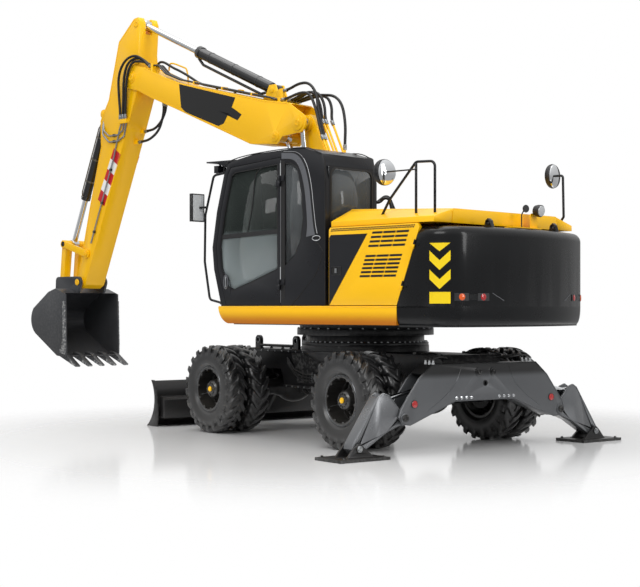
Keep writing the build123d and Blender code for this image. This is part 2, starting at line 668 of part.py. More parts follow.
with BuildPart() as lower_boom:
    with BuildSketch(Plane.XZ):
        outline([(-70, 1830), (60, 1720), (240, 1800), (600, 2640), (640, 2870), (610, 3060),
                 (470, 3120), (110, 2330)])
        with Locations(BOOM_FOOT):
            Circle(130)
    extrude(amount=190, both=True)
    with BuildSketch(Plane.XZ):
        outline([(110, 2330), (600, 2640), (780, 3130), (1015, 3700), (985, 3830), (870, 3850),
                 (800, 3780)])
    extrude(amount=BOOM_WEB_HALF_W, both=True)
    with BuildSketch(Plane.XZ):
        with Locations(BOOM_KNEE):
            Circle(105)
    extrude(amount=LUG_HALF_W - SIDE_GAP, both=True)
    near = ADJUST_RAM_W / 2 + SIDE_GAP
    for hand in (1, -1):
        with BuildSketch(side(near + ADJUST_LUG_T if hand > 0 else -near)):
            outline([(330, 2160), (470, 2430), (630, 2270), (580, 2183)])
            with Locations(ADJUST_FOOT):
                Circle(70)
        extrude(amount=ADJUST_LUG_T)
    with BuildSketch(side(near + ADJUST_LUG_T)):
        with Locations(ADJUST_FOOT):
            Circle(30)
    extrude(amount=2 * (near + ADJUST_LUG_T))
    for name, y, end in PIPES:
        x, z = along(*BOOM_BACK, PIPE_START, PIPE_STANDOFF)
        with Locations(Plane(origin=(x, y, z), z_dir=BOOM_RUN)):
            Cylinder(PIPE_R, end - PIPE_START, align=(Align.CENTER, Align.CENTER, Align.MIN))
    for at in PIPE_CLAMPS:
        with BuildSketch(side(112 + 2 * PIPE_R)):
            outline([along(*BOOM_BACK, at, -20), along(*BOOM_BACK, at + PIPE_CLAMP_L, -20),
                     along(*BOOM_BACK, at + PIPE_CLAMP_L, PIPE_STANDOFF + PIPE_R),
                     along(*BOOM_BACK, at, PIPE_STANDOFF + PIPE_R)])
        extrude(amount=112 + 165 + 4 * PIPE_R)
    with BuildSketch(side(BOOM_WEB_HALF_W)):
        outline([(HOSE_STUB[0] - 24, HOSE_STUB[2] + 20), (HOSE_STUB[0] - 24, HOSE_STUB[2] + 40),
                 (640, HOSE_STUB[2] + 40), (640, HOSE_STUB[2] + 20)])
    extrude(amount=BOOM_WEB_HALF_W - HOSE_STUB[1] + 24)
    with Locations(HOSE_STUB):
        Cylinder(PIPE_R, HOSE_STUB_TOP_Z - HOSE_STUB[2],
                 align=(Align.CENTER, Align.CENTER, Align.MIN))
    with BuildSketch(side(200)):
        with Locations(BOOM_FOOT):
            Circle(PIN_R + BEARING_GAP)
    extrude(amount=400, mode=Mode.SUBTRACT)
put(lower_boom, "lower_boom", True)

HOSE_R = 17
HOSE_BEND = 70
HOSE_LEAD = 75                    # straight part of a hose at each of its fittings
# distance to the left, places passed between the leads (forward, up), height of the end
KNEE_HOSES = [
    (112, [(700, 3900), (800, 4095), (960, 4125)], HOSE_END_Z),
    (72, [(705, 3900), (725, 4090), (850, 4235), (1030, 4245)], HIGH_HOSE_END_Z),
    (0, [(730, 3960), (830, 4120), (980, 4140)], HOSE_END_Z),
    (-55, [(712, 3960), (800, 4110), (960, 4155)], HOSE_END_Z),
    (-110, [(418, 3700), (470, 3950), (600, 4070), (780, 4095), (1000, 4115)], HOSE_END_Z),
    (-165, [(695, 3940), (760, 4070), (900, 4110)], HOSE_END_Z),
]

with BuildPart() as knee_hoses:
    pipe_end = {y: end for name, y, end in PIPES}
    for y, places, end_z in KNEE_HOSES:
        if y in pipe_end:
            leads = [along(*BOOM_BACK, pipe_end[y] + run, PIPE_STANDOFF) for run in (SEAT_GAP, HOSE_LEAD)]
        else:
            leads = [(HOSE_STUB[0], HOSE_STUB_TOP_Z + run) for run in (SEAT_GAP, HOSE_LEAD)]
        route = leads + places + [(HOSE_BLOCK_X - run, end_z) for run in (HOSE_LEAD, SEAT_GAP)]
        tube_run([(x, y, z) for x, z in route], HOSE_R, HOSE_BEND)
put(knee_hoses, "knee_hoses", True)

ELBOW_BLOCK_X = 3730              # front face of the block where the elbow's hoses start
ELBOW_BLOCK_Y = (66, 199)
ELBOW_START_Z = 4776
UNDER_BLOCK_Y = (140, 20)         # to the right, under the boom's tip
UNDER_BLOCK_Z = 4320

with BuildPart() as upper_boom:
    with BuildSketch(Plane.XZ):
        with BuildLine():
            Polyline((1086, 4003), (1501, 4076), (3138, 4476), (3519, 4616), (3865, 4768),
                     (4060, 4810))
            ThreePointArc((4060, 4810), (4270, 4750), (4200, 4520))
            Polyline((4200, 4520), (3991, 4460), (3703, 4334), (3171, 4125), (1760, 3553),
                     (1276, 3513), (1190, 3600), (930, 3620))
            ThreePointArc((930, 3620), (790, 3720), (850, 3850))
            Line((850, 3850), (1086, 4003))
        make_face()
    extrude(amount=BOOM_HALF_W, both=True)
    with BuildSketch(Plane.XZ):
        outline([(700, 3400), (1500, 3400), (1500, 3780), (1240, 3860), (1180, 3980), (700, 4000)])
    extrude(amount=BOOM_HALF_W - BOOM_PLATE, both=True, mode=Mode.SUBTRACT)
    with BuildSketch(Plane.XZ):
        outline([(3800, 4200), (4500, 4200), (4500, 5000), (3800, 5000)])
    extrude(amount=DIPPER_HALF_W + ARM_GAP, both=True, mode=Mode.SUBTRACT)
    with BuildSketch(side(BOOM_HALF_W + 14)):
        with Locations(DIPPER_PIVOT):
            Circle(50)
    extrude(amount=2 * BOOM_HALF_W + 28)
    for y in (BOOM_HALF_W + 10, 10 - BOOM_HALF_W):
        with BuildSketch(side(y)):
            with Locations(DIPPER_PIVOT):
                Circle(80)
        extrude(amount=10 if y > 0 else 20)
    for hand in (1, -1):
        far = BOOM_HALF_W + 10
        near = LUG_HALF_W + 80 + 3 * SIDE_GAP
        with BuildSketch(side(far if hand > 0 else -near)):
            with Locations(BOOM_KNEE):
                Circle(92)
        extrude(amount=far - near)
        near = ADJUST_RAM_W / 2 + SIDE_GAP
        with BuildSketch(side(far if hand > 0 else -near)):
            with Locations(ADJUST_EYE):
                Circle(66)
        extrude(amount=far - near)
        near = 55 + SIDE_GAP
        with BuildSketch(side(near + 28 if hand > 0 else -near)):
            outline([(1330, 4000), (1700, 4080), (1600, 4160), (1540, 4280), (1440, 4280),
                     (1400, 4180)])
        extrude(amount=28)
    with BuildSketch(side(90)):
        with Locations(DIPPER_RAM_FOOT):
            Circle(34)
    extrude(amount=180)
    with BuildSketch(side(145)):
        outline([(HOSE_BLOCK_X, 4020), (HOSE_BLOCK_X, 4094), (HOSE_BLOCK_X + 40, 4094),
                 (HOSE_BLOCK_X + 40, 4020)])
    extrude(amount=340)
    with BuildSketch(side(92)):
        outline([(HOSE_BLOCK_X, 4020), (HOSE_BLOCK_X, 4212), (HOSE_BLOCK_X + 55, 4212),
                 (1420, 4180), (1400, 4020)])
    extrude(amount=40)
    with BuildSketch(side(ELBOW_BLOCK_Y[1])):
        outline([(ELBOW_BLOCK_X - 40, 4640), (ELBOW_BLOCK_X - 40, 4802), (ELBOW_BLOCK_X, 4802),
                 (ELBOW_BLOCK_X, 4640)])
    extrude(amount=ELBOW_BLOCK_Y[1] - ELBOW_BLOCK_Y[0])
    with BuildSketch(side(-UNDER_BLOCK_Y[1])):
        outline([(3725, UNDER_BLOCK_Z), (3795, UNDER_BLOCK_Z), (3795, 4390), (3725, 4390)])
    extrude(amount=UNDER_BLOCK_Y[0] - UNDER_BLOCK_Y[1])
put(upper_boom, "upper_boom", True)

DIPPER_OUTLINE = [(4000, 5400), (4040, 5480), (4130, 5470), (4465, 5199), (4696, 4414), (4885, 4140),
                  (4873, 3767), (5135, 2930), (5410, 1960), (5420, 1850), (5330, 1780),
                  (5240, 1830), (4913, 2555), (4286, 3957), (4010, 4600), (4010, 4760), (4032, 4990)]

SIDE_CLAMP_Z = 4110               # top of the clamp on the dipper's left side
# distance to the left, height and rear face of the fittings on the dipper's rear side
UNDER_ENDS = [(-50, 3810, 4290), (-110, 3960, 4235)]

with BuildPart() as dipper:
    with BuildSketch(Plane.XZ):
        outline(DIPPER_OUTLINE)
    extrude(amount=DIPPER_HALF_W, both=True)
    with BuildSketch(side(60)):
        outline([(3900, 5250), (3900, 5600), (4300, 5600), (4300, 5330), (4180, 5270)])
    extrude(amount=120, mode=Mode.SUBTRACT)
    for hand in (1, -1):
        near = 55 + SIDE_GAP
        with BuildSketch(side(near + 28 if hand > 0 else -near)):
            with Locations(BUCKET_RAM_FOOT):
                Circle(62)
            outline([(4700, 4300), (4930, 4312), (4992, 4250), (4965, 4200), (4915, 4130), (4850, 4000)])
        extrude(amount=28)
        for centre, radius in ((BUCKET_PIVOT, 48), (DIPPER_PIVOT, 95)):
            far = DIPPER_HALF_W + (30 if centre is BUCKET_PIVOT else ARM_GAP - 1)
            with BuildSketch(side(far if hand > 0 else -100)):
                with Locations(centre):
                    Circle(radius)
            extrude(amount=far - 100)
    with Locations((4325, DIPPER_HALF_W + 25, SIDE_CLAMP_Z - 30)):
        Box(170, 60, 60)
    for y, z, rear in UNDER_ENDS:
        with Locations((rear + 50, y, z)):
            Box(100, 50, 56)
    with BuildSketch(side(200)):
        with Locations(DIPPER_PIVOT):
            Circle(50 + BEARING_GAP)
    extrude(amount=400, mode=Mode.SUBTRACT)
    for centre, radius, half in ((BUCKET_RAM_FOOT, 32, 95), (ROCKER_PIVOT, 30, 205),
                                 (BUCKET_PIVOT, 36, 245)):
        with BuildSketch(side(half)):
            with Locations(centre):
                Circle(radius)
        extrude(amount=2 * half)
put(dipper, "dipper", True)

# start to the left on the boom's block, places passed (forward, left, up), end (forward, left)
ELBOW_HOSES = [
    (172, [(3900, 180, 4880), (4050, 225, 4960), (4250, 242, 4900), (4385, 242, 4700),
           (4395, 215, 4400)], (4380, 205)),
    (130, [(3890, 150, 4860), (4000, 202, 4925), (4175, 242, 4870), (4262, 242, 4660),
           (4300, 215, 4360)], (4325, 205)),
    (88, [(3870, 120, 4835), (3965, 200, 4870), (4105, 242, 4860), (4205, 242, 4620),
          (4245, 215, 4360)], (4270, 205)),
]
# for each of UNDER_ENDS: station of the start, places passed (forward, up)
UNDER_HOSES = [(3750, [(3760, 4130), (3850, 3930), (4050, 3825)]),
               (3775, [(3800, 4170), (3880, 4060), (4010, 3975)])]

with BuildPart() as elbow_hoses:
    for start_y, places, (end_x, end_y) in ELBOW_HOSES:
        tube_run([(ELBOW_BLOCK_X + run, start_y, ELBOW_START_Z) for run in (SEAT_GAP, HOSE_LEAD)] + places
                 + [(end_x, end_y, SIDE_CLAMP_Z + run) for run in (HOSE_LEAD, SEAT_GAP)],
                 HOSE_R, HOSE_BEND)
    for (y, z, rear), (start_x, places) in zip(UNDER_ENDS, UNDER_HOSES):
        tube_run([(start_x, y, UNDER_BLOCK_Z - run) for run in (SEAT_GAP, HOSE_LEAD)]
                 + [(x, y, up) for x, up in places]
                 + [(rear - run, y, z) for run in (HOSE_LEAD, SEAT_GAP)], HOSE_R, HOSE_BEND)
put(elbow_hoses, "elbow_hoses", True)

ROCKER_IN = 172
ROCKER_T = 24
LINK_IN = 60
EAR_IN = 204
EAR_T = 30

with BuildPart() as rocker:
    for hand in (1, -1):
        with BuildSketch(side(ROCKER_IN + ROCKER_T if hand > 0 else -ROCKER_IN)):
            with Locations(ROCKER_PIVOT):
                Circle(62)
            with Locations(ROCKER_EYE):
                Circle(56)
            outline([along(ROCKER_PIVOT, ROCKER_EYE, 0, 52), along(ROCKER_PIVOT, ROCKER_EYE, 571, 44),
                     along(ROCKER_PIVOT, ROCKER_EYE, 571, -44), along(ROCKER_PIVOT, ROCKER_EYE, 0, -52)])
            with Locations(ROCKER_PIVOT):
                Circle(30 + BEARING_GAP, mode=Mode.SUBTRACT)
        extrude(amount=ROCKER_T)
        with BuildSketch(side(ROCKER_IN + ROCKER_T if hand > 0 else -LINK_IN - 4)):
            with Locations(ROCKER_EYE):
                Circle(28)
        extrude(amount=ROCKER_IN + ROCKER_T - LINK_IN - 4)
put(rocker, "bucket_rocker", True)

with BuildPart() as link:
    for hand in (1, -1):
        with BuildSketch(side(ROCKER_IN - 1 if hand > 0 else -LINK_IN - SIDE_GAP)):
            with Locations(ROCKER_EYE):
                Circle(56)
            with Locations(LINK_EYE):
                Circle(52)
            outline([along(ROCKER_EYE, LINK_EYE, 0, 50), along(ROCKER_EYE, LINK_EYE, 543, 46),
                     along(ROCKER_EYE, LINK_EYE, 543, -46), along(ROCKER_EYE, LINK_EYE, 0, -50)])
            with Locations(ROCKER_EYE):
                Circle(28 + BEARING_GAP, mode=Mode.SUBTRACT)
        extrude(amount=ROCKER_IN - 1 - LINK_IN - SIDE_GAP)
    with BuildSketch(side(EAR_IN - SIDE_GAP)):
        with Locations(LINK_EYE):
            Circle(52)
    extrude(amount=2 * (EAR_IN - SIDE_GAP))
put(link, "bucket_link", True)

LIP = (5274, 803)
BUCKET_PLATE = 18

with BuildPart() as bucket:
    with BuildSketch(Plane.XZ) as outer:
        with BuildLine():
            Polyline((5300, 1700), (5544, 1780), (5714, 1731), (6080, 1500))
            ThreePointArc((6080, 1500), (6140, 1330), (6035, 1134))
            Polyline((6035, 1134), (5503, 821), LIP, (5300, 1700))
        make_face()
    extrude(amount=BUCKET_HALF_W, both=True)
    with BuildSketch(Plane.XZ):
        with BuildLine():
            Polyline((5200, 1682), (5544, 1760), (5706, 1713), (6064, 1484))
            ThreePointArc((6064, 1484), (6120, 1330), (6022, 1148))
            Polyline((6022, 1148), (5497, 841), (5200, 815), (5200, 1682))
        make_face()
    extrude(amount=BUCKET_HALF_W - BUCKET_PLATE, both=True, mode=Mode.SUBTRACT)
    for hand in (1, -1):
        with BuildSketch(side(EAR_IN + EAR_T if hand > 0 else -EAR_IN)):
            with Locations(BUCKET_PIVOT):
                Circle(82)
            with Locations(LINK_EYE):
                Circle(62)
            outline([(5252, 1850), (5330, 1952), (5800, 1952), (5862, 1880), (5870, 1700),
                     (5600, 1750), (5330, 1710), (5290, 1740)])
            with Locations(BUCKET_PIVOT):
                Circle(36 + BEARING_GAP, mode=Mode.SUBTRACT)
        extrude(amount=EAR_T)
    for i in range(5):
        y = (i - 2) * (2 * BUCKET_HALF_W - 90) / 4
        with BuildSketch(side(y + 36)):
            outline([(5420, 872), (5300, 850), (5050, 690), (5062, 672), (5330, 770), (5440, 812)])
        extrude(amount=72)
put(bucket, "bucket", True)

ram("lift_ram", LIFT_FOOT, BOOM_KNEE, Plane.XZ, 80, 62, 36, 1400, 62, 40 + BEARING_GAP, 84,
    reach=640, copies=(-LIFT_RAM_Y, LIFT_RAM_Y))
ram("adjusting_ram", ADJUST_FOOT, ADJUST_EYE, Plane.XZ, ADJUST_RAM_W, 50, 32, 1080, 60,
    30 + BEARING_GAP, 66, reach=330)
ram("dipper_ram", DIPPER_RAM_FOOT, DIPPER_RAM_EYE, Plane.XZ, 110, 72, 42, 1620, 70,
    34 + BEARING_GAP, 74, reach=700)
ram("bucket_ram", BUCKET_RAM_FOOT, ROCKER_EYE, Plane.XZ, 110, 62, 38, 1294, 66,
    32 + BEARING_GAP, 62, reach=480, neck_len=60)

# ---------------------------------------------------------------- upper frame

REAR_SEAM_LOW = (-1563, SKIRT_TOP_Z)      # where the counterweight meets the side doors
REAR_SEAM_HIGH = (-1873, 2330)
TAIL_X = -2450
BALLAST_WALL_X = -1900            # inner wall of the counterweight, which the frame's cheeks meet
DOOR_FRONT_X = -600               # front edge of the service doors
BULKHEAD_X = -640
HOOD_Z = 2372
ENGINE_Z = 1600

HOOD_HINGE = (-614, 2592)
HOOD_HINGE_Y = (470, -560)
HOOD_KNUCKLE_R = 11
HOOD_KNUCKLE_L = 50

SEAM_HINGE_Y = UPPER_HALF_W + 12
SEAM_HINGE_AT = (170, 620)        # places of the side doors' hinges along the seam
KNUCKLE_R = 11.7
KNUCKLE_LENGTH = 50
SEAM_RUN = Vector(REAR_SEAM_HIGH[0] - REAR_SEAM_LOW[0], 0, REAR_SEAM_HIGH[1] - REAR_SEAM_LOW[1])


def seam_knuckle(hand, at, toward):
    """Knuckle on a side door's hinge line, with its leaf on the door (1) or the ballast (-1)."""
    run = SEAM_RUN.normalized()
    start = Vector(REAR_SEAM_LOW[0], hand * SEAM_HINGE_Y, REAR_SEAM_LOW[1]) + run * at
    with BuildSketch(Plane(origin=start, x_dir=(0, hand, 0), z_dir=run)) as section:
        Circle(KNUCKLE_R)
        with Locations((UPPER_HALF_W - SEAM_HINGE_Y + 3, -hand * toward * 28)):
            Rectangle(6, 50)
    extrude(section.sketch, amount=KNUCKLE_LENGTH)


with BuildPart() as turntable:
    with BuildSketch(Plane.XY.offset(DECK_Z)):
        outline([(1080, -1100), (1080, 1100), (980, 1135), (-1540, 1135), (-1540, -1135), (980, -1135)])
    extrude(amount=DECK_PLATE)
    for hand in (1, -1):
        with BuildSketch(side(LUG_PLATE_OUT if hand > 0 else -FOOT_CHEEK_Y)):
            outline([(-1500, DECK_Z + 20), (760, DECK_Z + 20), (760, 1480), (700, 1530),
                     (420, 1720), (200, 1960), (60, 2010), (-80, 1960), (-420, ENGINE_Z),
                     (BALLAST_WALL_X + SEAT_GAP, ENGINE_Z), (BALLAST_WALL_X + SEAT_GAP, DECK_Z + DECK_PLATE),
                     (-1500, DECK_Z + DECK_PLATE)])
        extrude(amount=LUG_PLATE_OUT - FOOT_CHEEK_Y)
        for outer, inner in ((FOOT_CHEEK_Y, 40 + LIFT_RAM_Y + SIDE_GAP),
                             (LIFT_RAM_Y - 40 - SIDE_GAP, 40)):
            with BuildSketch(side(outer if hand > 0 else -inner)):
                with Locations(LIFT_FOOT):
                    Circle(66)
                outline([(520, DECK_Z + 20), (LIFT_FOOT[0] - 60, LIFT_FOOT[1]),
                         (LIFT_FOOT[0] + 60, LIFT_FOOT[1]), (720, DECK_Z + 20)])
            extrude(amount=outer - inner)
        for x, y, length in ((-300, 620, 2300), (-1050, 1070, 900)):
            with Locations((x, hand * y, (DECK_Z + CAB_FLOOR_Z) / 2)):
                Box(length, 90, CAB_FLOOR_Z - DECK_Z)
    for half_width, centre, radius in ((270, BOOM_FOOT, PIN_R), (215, LIFT_FOOT, 40)):
        with BuildSketch(side(half_width)):
            with Locations(centre):
                Circle(radius)
        extrude(amount=2 * half_width)
    for z0, z1, half in ((DECK_Z, CAB_FLOOR_Z, 1115), (CAB_FLOOR_Z, HOOD_Z - SEAT_GAP, 1205)):
        with Locations((BULKHEAD_X, 0, (z0 + z1) / 2)):
            Box(30, 2 * half, z1 - z0)
    for y in HOOD_HINGE_Y:
        with BuildSketch(side(y - HOOD_KNUCKLE_L - SEAT_GAP)):
            with Locations(HOOD_HINGE):
                Circle(HOOD_KNUCKLE_R)
            outline([(-640, 2200), (-600, 2200), (-600, 2592), (-612, 2592), (-612, 2368), (-640, 2368)])
        extrude(amount=HOOD_KNUCKLE_L)
    with BuildSketch(Plane.XZ):
        outline([(560, RING_SPLIT_Z + 0.3), (800, RING_SPLIT_Z + 0.3), (800, DECK_Z - 50),
                 (770, DECK_Z - 44), (770, DECK_Z), (560, DECK_Z)])
    revolve(axis=Axis.Z)
put(turntable, "turntable_frame", True)

with BuildPart() as skirts:
    for hand in (1, -1):
        with BuildSketch(Plane.XZ.offset(-hand * 1195)) as rail:
            with BuildLine():
                Polyline((-1558, 1322), (1010, 1322))
                ThreePointArc((1010, 1322), (1140, 1400), (1185, 1523))
                Polyline((1185, 1523), (-1558, 1523), (-1558, 1322))
            make_face()
        extrude(amount=55, both=True)
    fillet(skirts.edges().filter_by(Axis.X).group_by(Axis.Z)[-1], 16)
    for hand in (1, -1):
        with BuildSketch(Plane.XZ.offset(-hand * 1165)):
            outline([(-1500, 1300), (980, 1300), (1080, 1380), (1120, 1490), (-1500, 1490)])
        extrude(amount=45, both=True, mode=Mode.SUBTRACT)
put(skirts, "side_skirts", True)

BALLAST_FOOT_Z = 1305
BALLAST_STEP_Z = 1500             # the foot below it is set in
BALLAST_STEP = 40
BALLAST_ROUND = 100


def tail_outline(inset):
    """Plan of the counterweight with its rear and sides moved in."""
    w = UPPER_HALF_W - inset
    with BuildLine() as border:
        Line((-1400, w), (-1990, w))
        ThreePointArc((-1990, w), (-2180 + 0.7 * inset, 1170 - 0.7 * inset),
                      (-2290 + inset, 1000 - 0.4 * inset))
        ThreePointArc((-2290 + inset, 1000 - 0.4 * inset), (TAIL_X + inset, 0),
                      (-2290 + inset, 0.4 * inset - 1000))
        ThreePointArc((-2290 + inset, 0.4 * inset - 1000), (-2180 + 0.7 * inset, 0.7 * inset - 1170),
                      (-1990, -w))
        Polyline((-1990, -w), (-1400, -w), (-1400, w))
    make_face(border.edges())


with BuildPart() as counterweight:
    with BuildSketch(Plane.XY.offset(BALLAST_STEP_Z)):
        tail_outline(0)
    extrude(amount=REAR_SEAM_HIGH[1] - BALLAST_STEP_Z)
    fillet(counterweight.edges().group_by(Axis.Z)[-1].filter_by(lambda e: e.center().X < -1500),
           BALLAST_ROUND)
    with BuildSketch(Plane.XY.offset(BALLAST_FOOT_Z)):
        tail_outline(BALLAST_STEP)
    extrude(amount=BALLAST_STEP_Z - BALLAST_FOOT_Z)
    with BuildSketch(Plane.XZ):
        outline([(-1000, 1000), (-1563, 1000), (-1563, SKIRT_TOP_Z), REAR_SEAM_HIGH, (-1873, 2500),
                 (-1000, 2500)])
    extrude(amount=1400, both=True, mode=Mode.SUBTRACT)
    with BuildSketch(Plane.XZ):
        outline([(-1500, 1345), (BALLAST_WALL_X, 1345), (BALLAST_WALL_X, 1640), (-2060, 2300),
                 (-2060, 2400), (-1500, 2400)])
    extrude(amount=1040, both=True, mode=Mode.SUBTRACT)
    for hand in (1, -1):
        with BuildSketch(side(hand * 580 + 25)):
            outline([(-2300, 2300), (-2180, 2300), (-2210, 2400), (-2240, 2425), (-2270, 2400)])
            with Locations((-2240, 2385)):
                Circle(18, mode=Mode.SUBTRACT)
        extrude(amount=50)
        for at in SEAM_HINGE_AT:
            seam_knuckle(hand, at + KNUCKLE_LENGTH + SEAT_GAP, -1)
put(counterweight, "counterweight", True)

for name, hand in (("left", 1), ("right", -1)):
    with BuildPart() as service_door:
        with BuildSketch(side(UPPER_HALF_W)):
            outline([(DOOR_FRONT_X, SKIRT_TOP_Z + 6), (REAR_SEAM_LOW[0] + 4, SKIRT_TOP_Z + 6),
                     (REAR_SEAM_HIGH[0] + 8, 2325), (-1840, HOOD_Z - 6), (DOOR_FRONT_X - 20, HOOD_Z - 6),
                     (DOOR_FRONT_X, 2340)])
        extrude(amount=40)
        for low, rows, pitch in ((1835, 6, 42), (2150, 4, 46)):
            for row in range(rows):
                z = low + pitch * row
                shift = -0.39 * (z - 1835)
                for left, width in ((-1360, 150), (-1540, 150), (-1180, 110)):
                    with Locations((left + shift + 75, UPPER_HALF_W - 20, z)):
                        Box(width, 60, 20, mode=Mode.SUBTRACT)
        for at in SEAM_HINGE_AT:
            seam_knuckle(1, at, 1)
        if hand < 0:
            mirror(about=Plane.XZ, mode=Mode.REPLACE)
    put(service_door, f"service_door_{name}", True)

HOOD_T = 26
LID_HALF_W = 930                  # the lid lies between two fixed side strips
# station, height of the shoulder and of the crown above the side doors
HOOD_SECTIONS = [(-2040, 60, 150), (-620, 60, 210)]


def hood_loft(half, crown_half, wall, mode):
    """Loft of the engine cover between its two sections, moved in by a wall thickness."""
    faces = []
    for x, shoulder, crown in HOOD_SECTIONS:
        with BuildSketch(across(x + (wall if x < -1000 else -wall))) as section:
            base = HOOD_Z - (1 if wall else 0)
            outline([(half - wall, base), (half - wall, HOOD_Z + shoulder - wall),
                     (crown_half, HOOD_Z + crown - wall), (-crown_half, HOOD_Z + crown - wall),
                     (wall - half, HOOD_Z + shoulder - wall), (wall - half, base)])
        faces.append(section.sketch)
    loft(faces, mode=mode)


with BuildPart() as hood:
    hood_loft(1236, 900, 0, Mode.ADD)
    hood_loft(1236, 900, HOOD_T, Mode.SUBTRACT)
    for y in HOOD_HINGE_Y:
        with BuildSketch(side(y)):
            with Locations(HOOD_HINGE):
                Circle(HOOD_KNUCKLE_R)
            outline([(-700, 2574), (-700, 2588), (-614, 2594), (-614, 2583)])
        extrude(amount=HOOD_KNUCKLE_L)
    for hand in (1, -1):
        with Locations((-1300, hand * (LID_HALF_W + 200), HOOD_Z + 150)):
            Box(1600, 400, 400, mode=Mode.SUBTRACT)
put(hood, "engine_hood", True)

with BuildPart() as strips:
    hood_loft(1236, 900, 0, Mode.ADD)
    hood_loft(1236, 900, HOOD_T, Mode.SUBTRACT)
    with Locations((-1300, 0, HOOD_Z + 150)):
        Box(1600, 2 * LID_HALF_W + 12, 400, mode=Mode.SUBTRACT)
    for hand in (1, -1):
        with Locations((-1330, hand * (LID_HALF_W + 6 + 13), HOOD_Z + 30)):
            Box(1400, 26, 60)
put(strips, "engine_cover_sides", True)

ENGINE_SIZE = (1050, 760, 640)

with BuildPart() as engine:
    with Locations((-1200, -40, ENGINE_Z + ENGINE_SIZE[2] / 2)):
        Box(*ENGINE_SIZE)
put(engine, "engine_block", True)

# name, rear, front, outer side, inner side, top
SIDE_BOXES = [("tank", -590, 560, 1240, 320, 2300), ("toolbox", 572, 1040, 1225, 420, 1900)]

with BuildPart() as tank:
    for name, rear, front, outer, inner, top in SIDE_BOXES:
        with BuildSketch(Plane.XY.offset(CAB_FLOOR_Z)):
            outline([(rear, -outer), (front, -outer), (front, -inner), (rear, -inner)], 40)
        extrude(amount=top - CAB_FLOOR_Z)
    fillet(tank.edges().group_by(Axis.Z)[-1], 20)
put(tank, "fuel_tank_and_toolbox", True)

# ---------------------------------------------------------------- cab

CAB_REAR_X = -520
DOOR_SEAM_X = 170
CAB_FRONT = [(1165, CAB_FLOOR_Z), (1292, 1954), (1320, 2210), (1243, 2623), (1112, 3070)]
ROOF = [(1040, 3190), (600, 3255), (-160, 3270), (-470, 3180)]
PILLAR = 60


def cab_profile(inset=0):
    """Side outline of the cab with its walls moved inwards."""
    front = [(x - inset, z + (inset if i == 0 else 0)) for i, (x, z) in enumerate(CAB_FRONT)]
    roof = [(x - inset * (x > 0) + inset * (x < 0) * 0.6, z - inset) for x, z in ROOF]
    rear = [(CAB_REAR_X + inset, 2900), (CAB_REAR_X + inset, CAB_FLOOR_Z + inset)]
    return front + roof + rear


def cab_prism(points, y_from, y_to):
    """Prism of a side outline between two distances to the left."""
    with BuildSketch(side(y_to)) as section:
        outline(points)
    return extrude(section.sketch, amount=y_to - y_from, mode=Mode.PRIVATE)


WINDSCREEN_LOW_Z = 1640
DOOR_OUTLINE = [(DOOR_SEAM_X, CAB_FLOOR_Z + 14), (1085, CAB_FLOOR_Z + 14), (1225, 1954), (1252, 2210),
                (1177, 2610), (1050, 3060), (1000, 3130), (DOOR_SEAM_X, 3190)]
DOOR_WINDOW = [(DOOR_SEAM_X + 45, 1930), (620, 1800), (960, 1700), (1060, 1740), (1165, 1960),
               (1190, 2210), (1115, 2600), (985, 3040), (930, 3075), (DOOR_SEAM_X + 45, 3120)]
SIDE_WINDOW = [(DOOR_SEAM_X - 50, 3120), (20, 3120), (-90, 3060), (-160, 2800), (-190, 2489),
               (-150, 2250), (-40, 2070), (DOOR_SEAM_X - 50, 1960)]
RIGHT_WINDOW = [(-380, 3080), (-380, 2150), (1060, 2000), (1200, 2180), (1130, 2600), (1010, 3060)]
REAR_WINDOW = (-0.5, 2480, 3030)

CAB_HINGE_X = DOOR_SEAM_X + 6
CAB_HINGE_Y = CAB_LEFT_Y + 24
CAB_HINGE_Z = (1700, 2860)
CAB_KNUCKLE_R = 13
CAB_KNUCKLE_L = 60
ROOF_LAMP_Y = (1090, 530)


def cab_knuckle(z, toward):
    """Knuckle of the cab door's hinge, with its leaf on the door (1) or on the shell (-1)."""
    with BuildSketch(Plane.XY.offset(z)) as section:
        with Locations((CAB_HINGE_X, CAB_HINGE_Y)):
            Circle(CAB_KNUCKLE_R)
        with Locations((CAB_HINGE_X + toward * 34, CAB_LEFT_Y + 7)):
            Rectangle(62, 14)
        with Locations((CAB_HINGE_X + toward * 8, CAB_LEFT_Y + 12)):
            Rectangle(10, 24)
    extrude(section.sketch, amount=CAB_KNUCKLE_L)


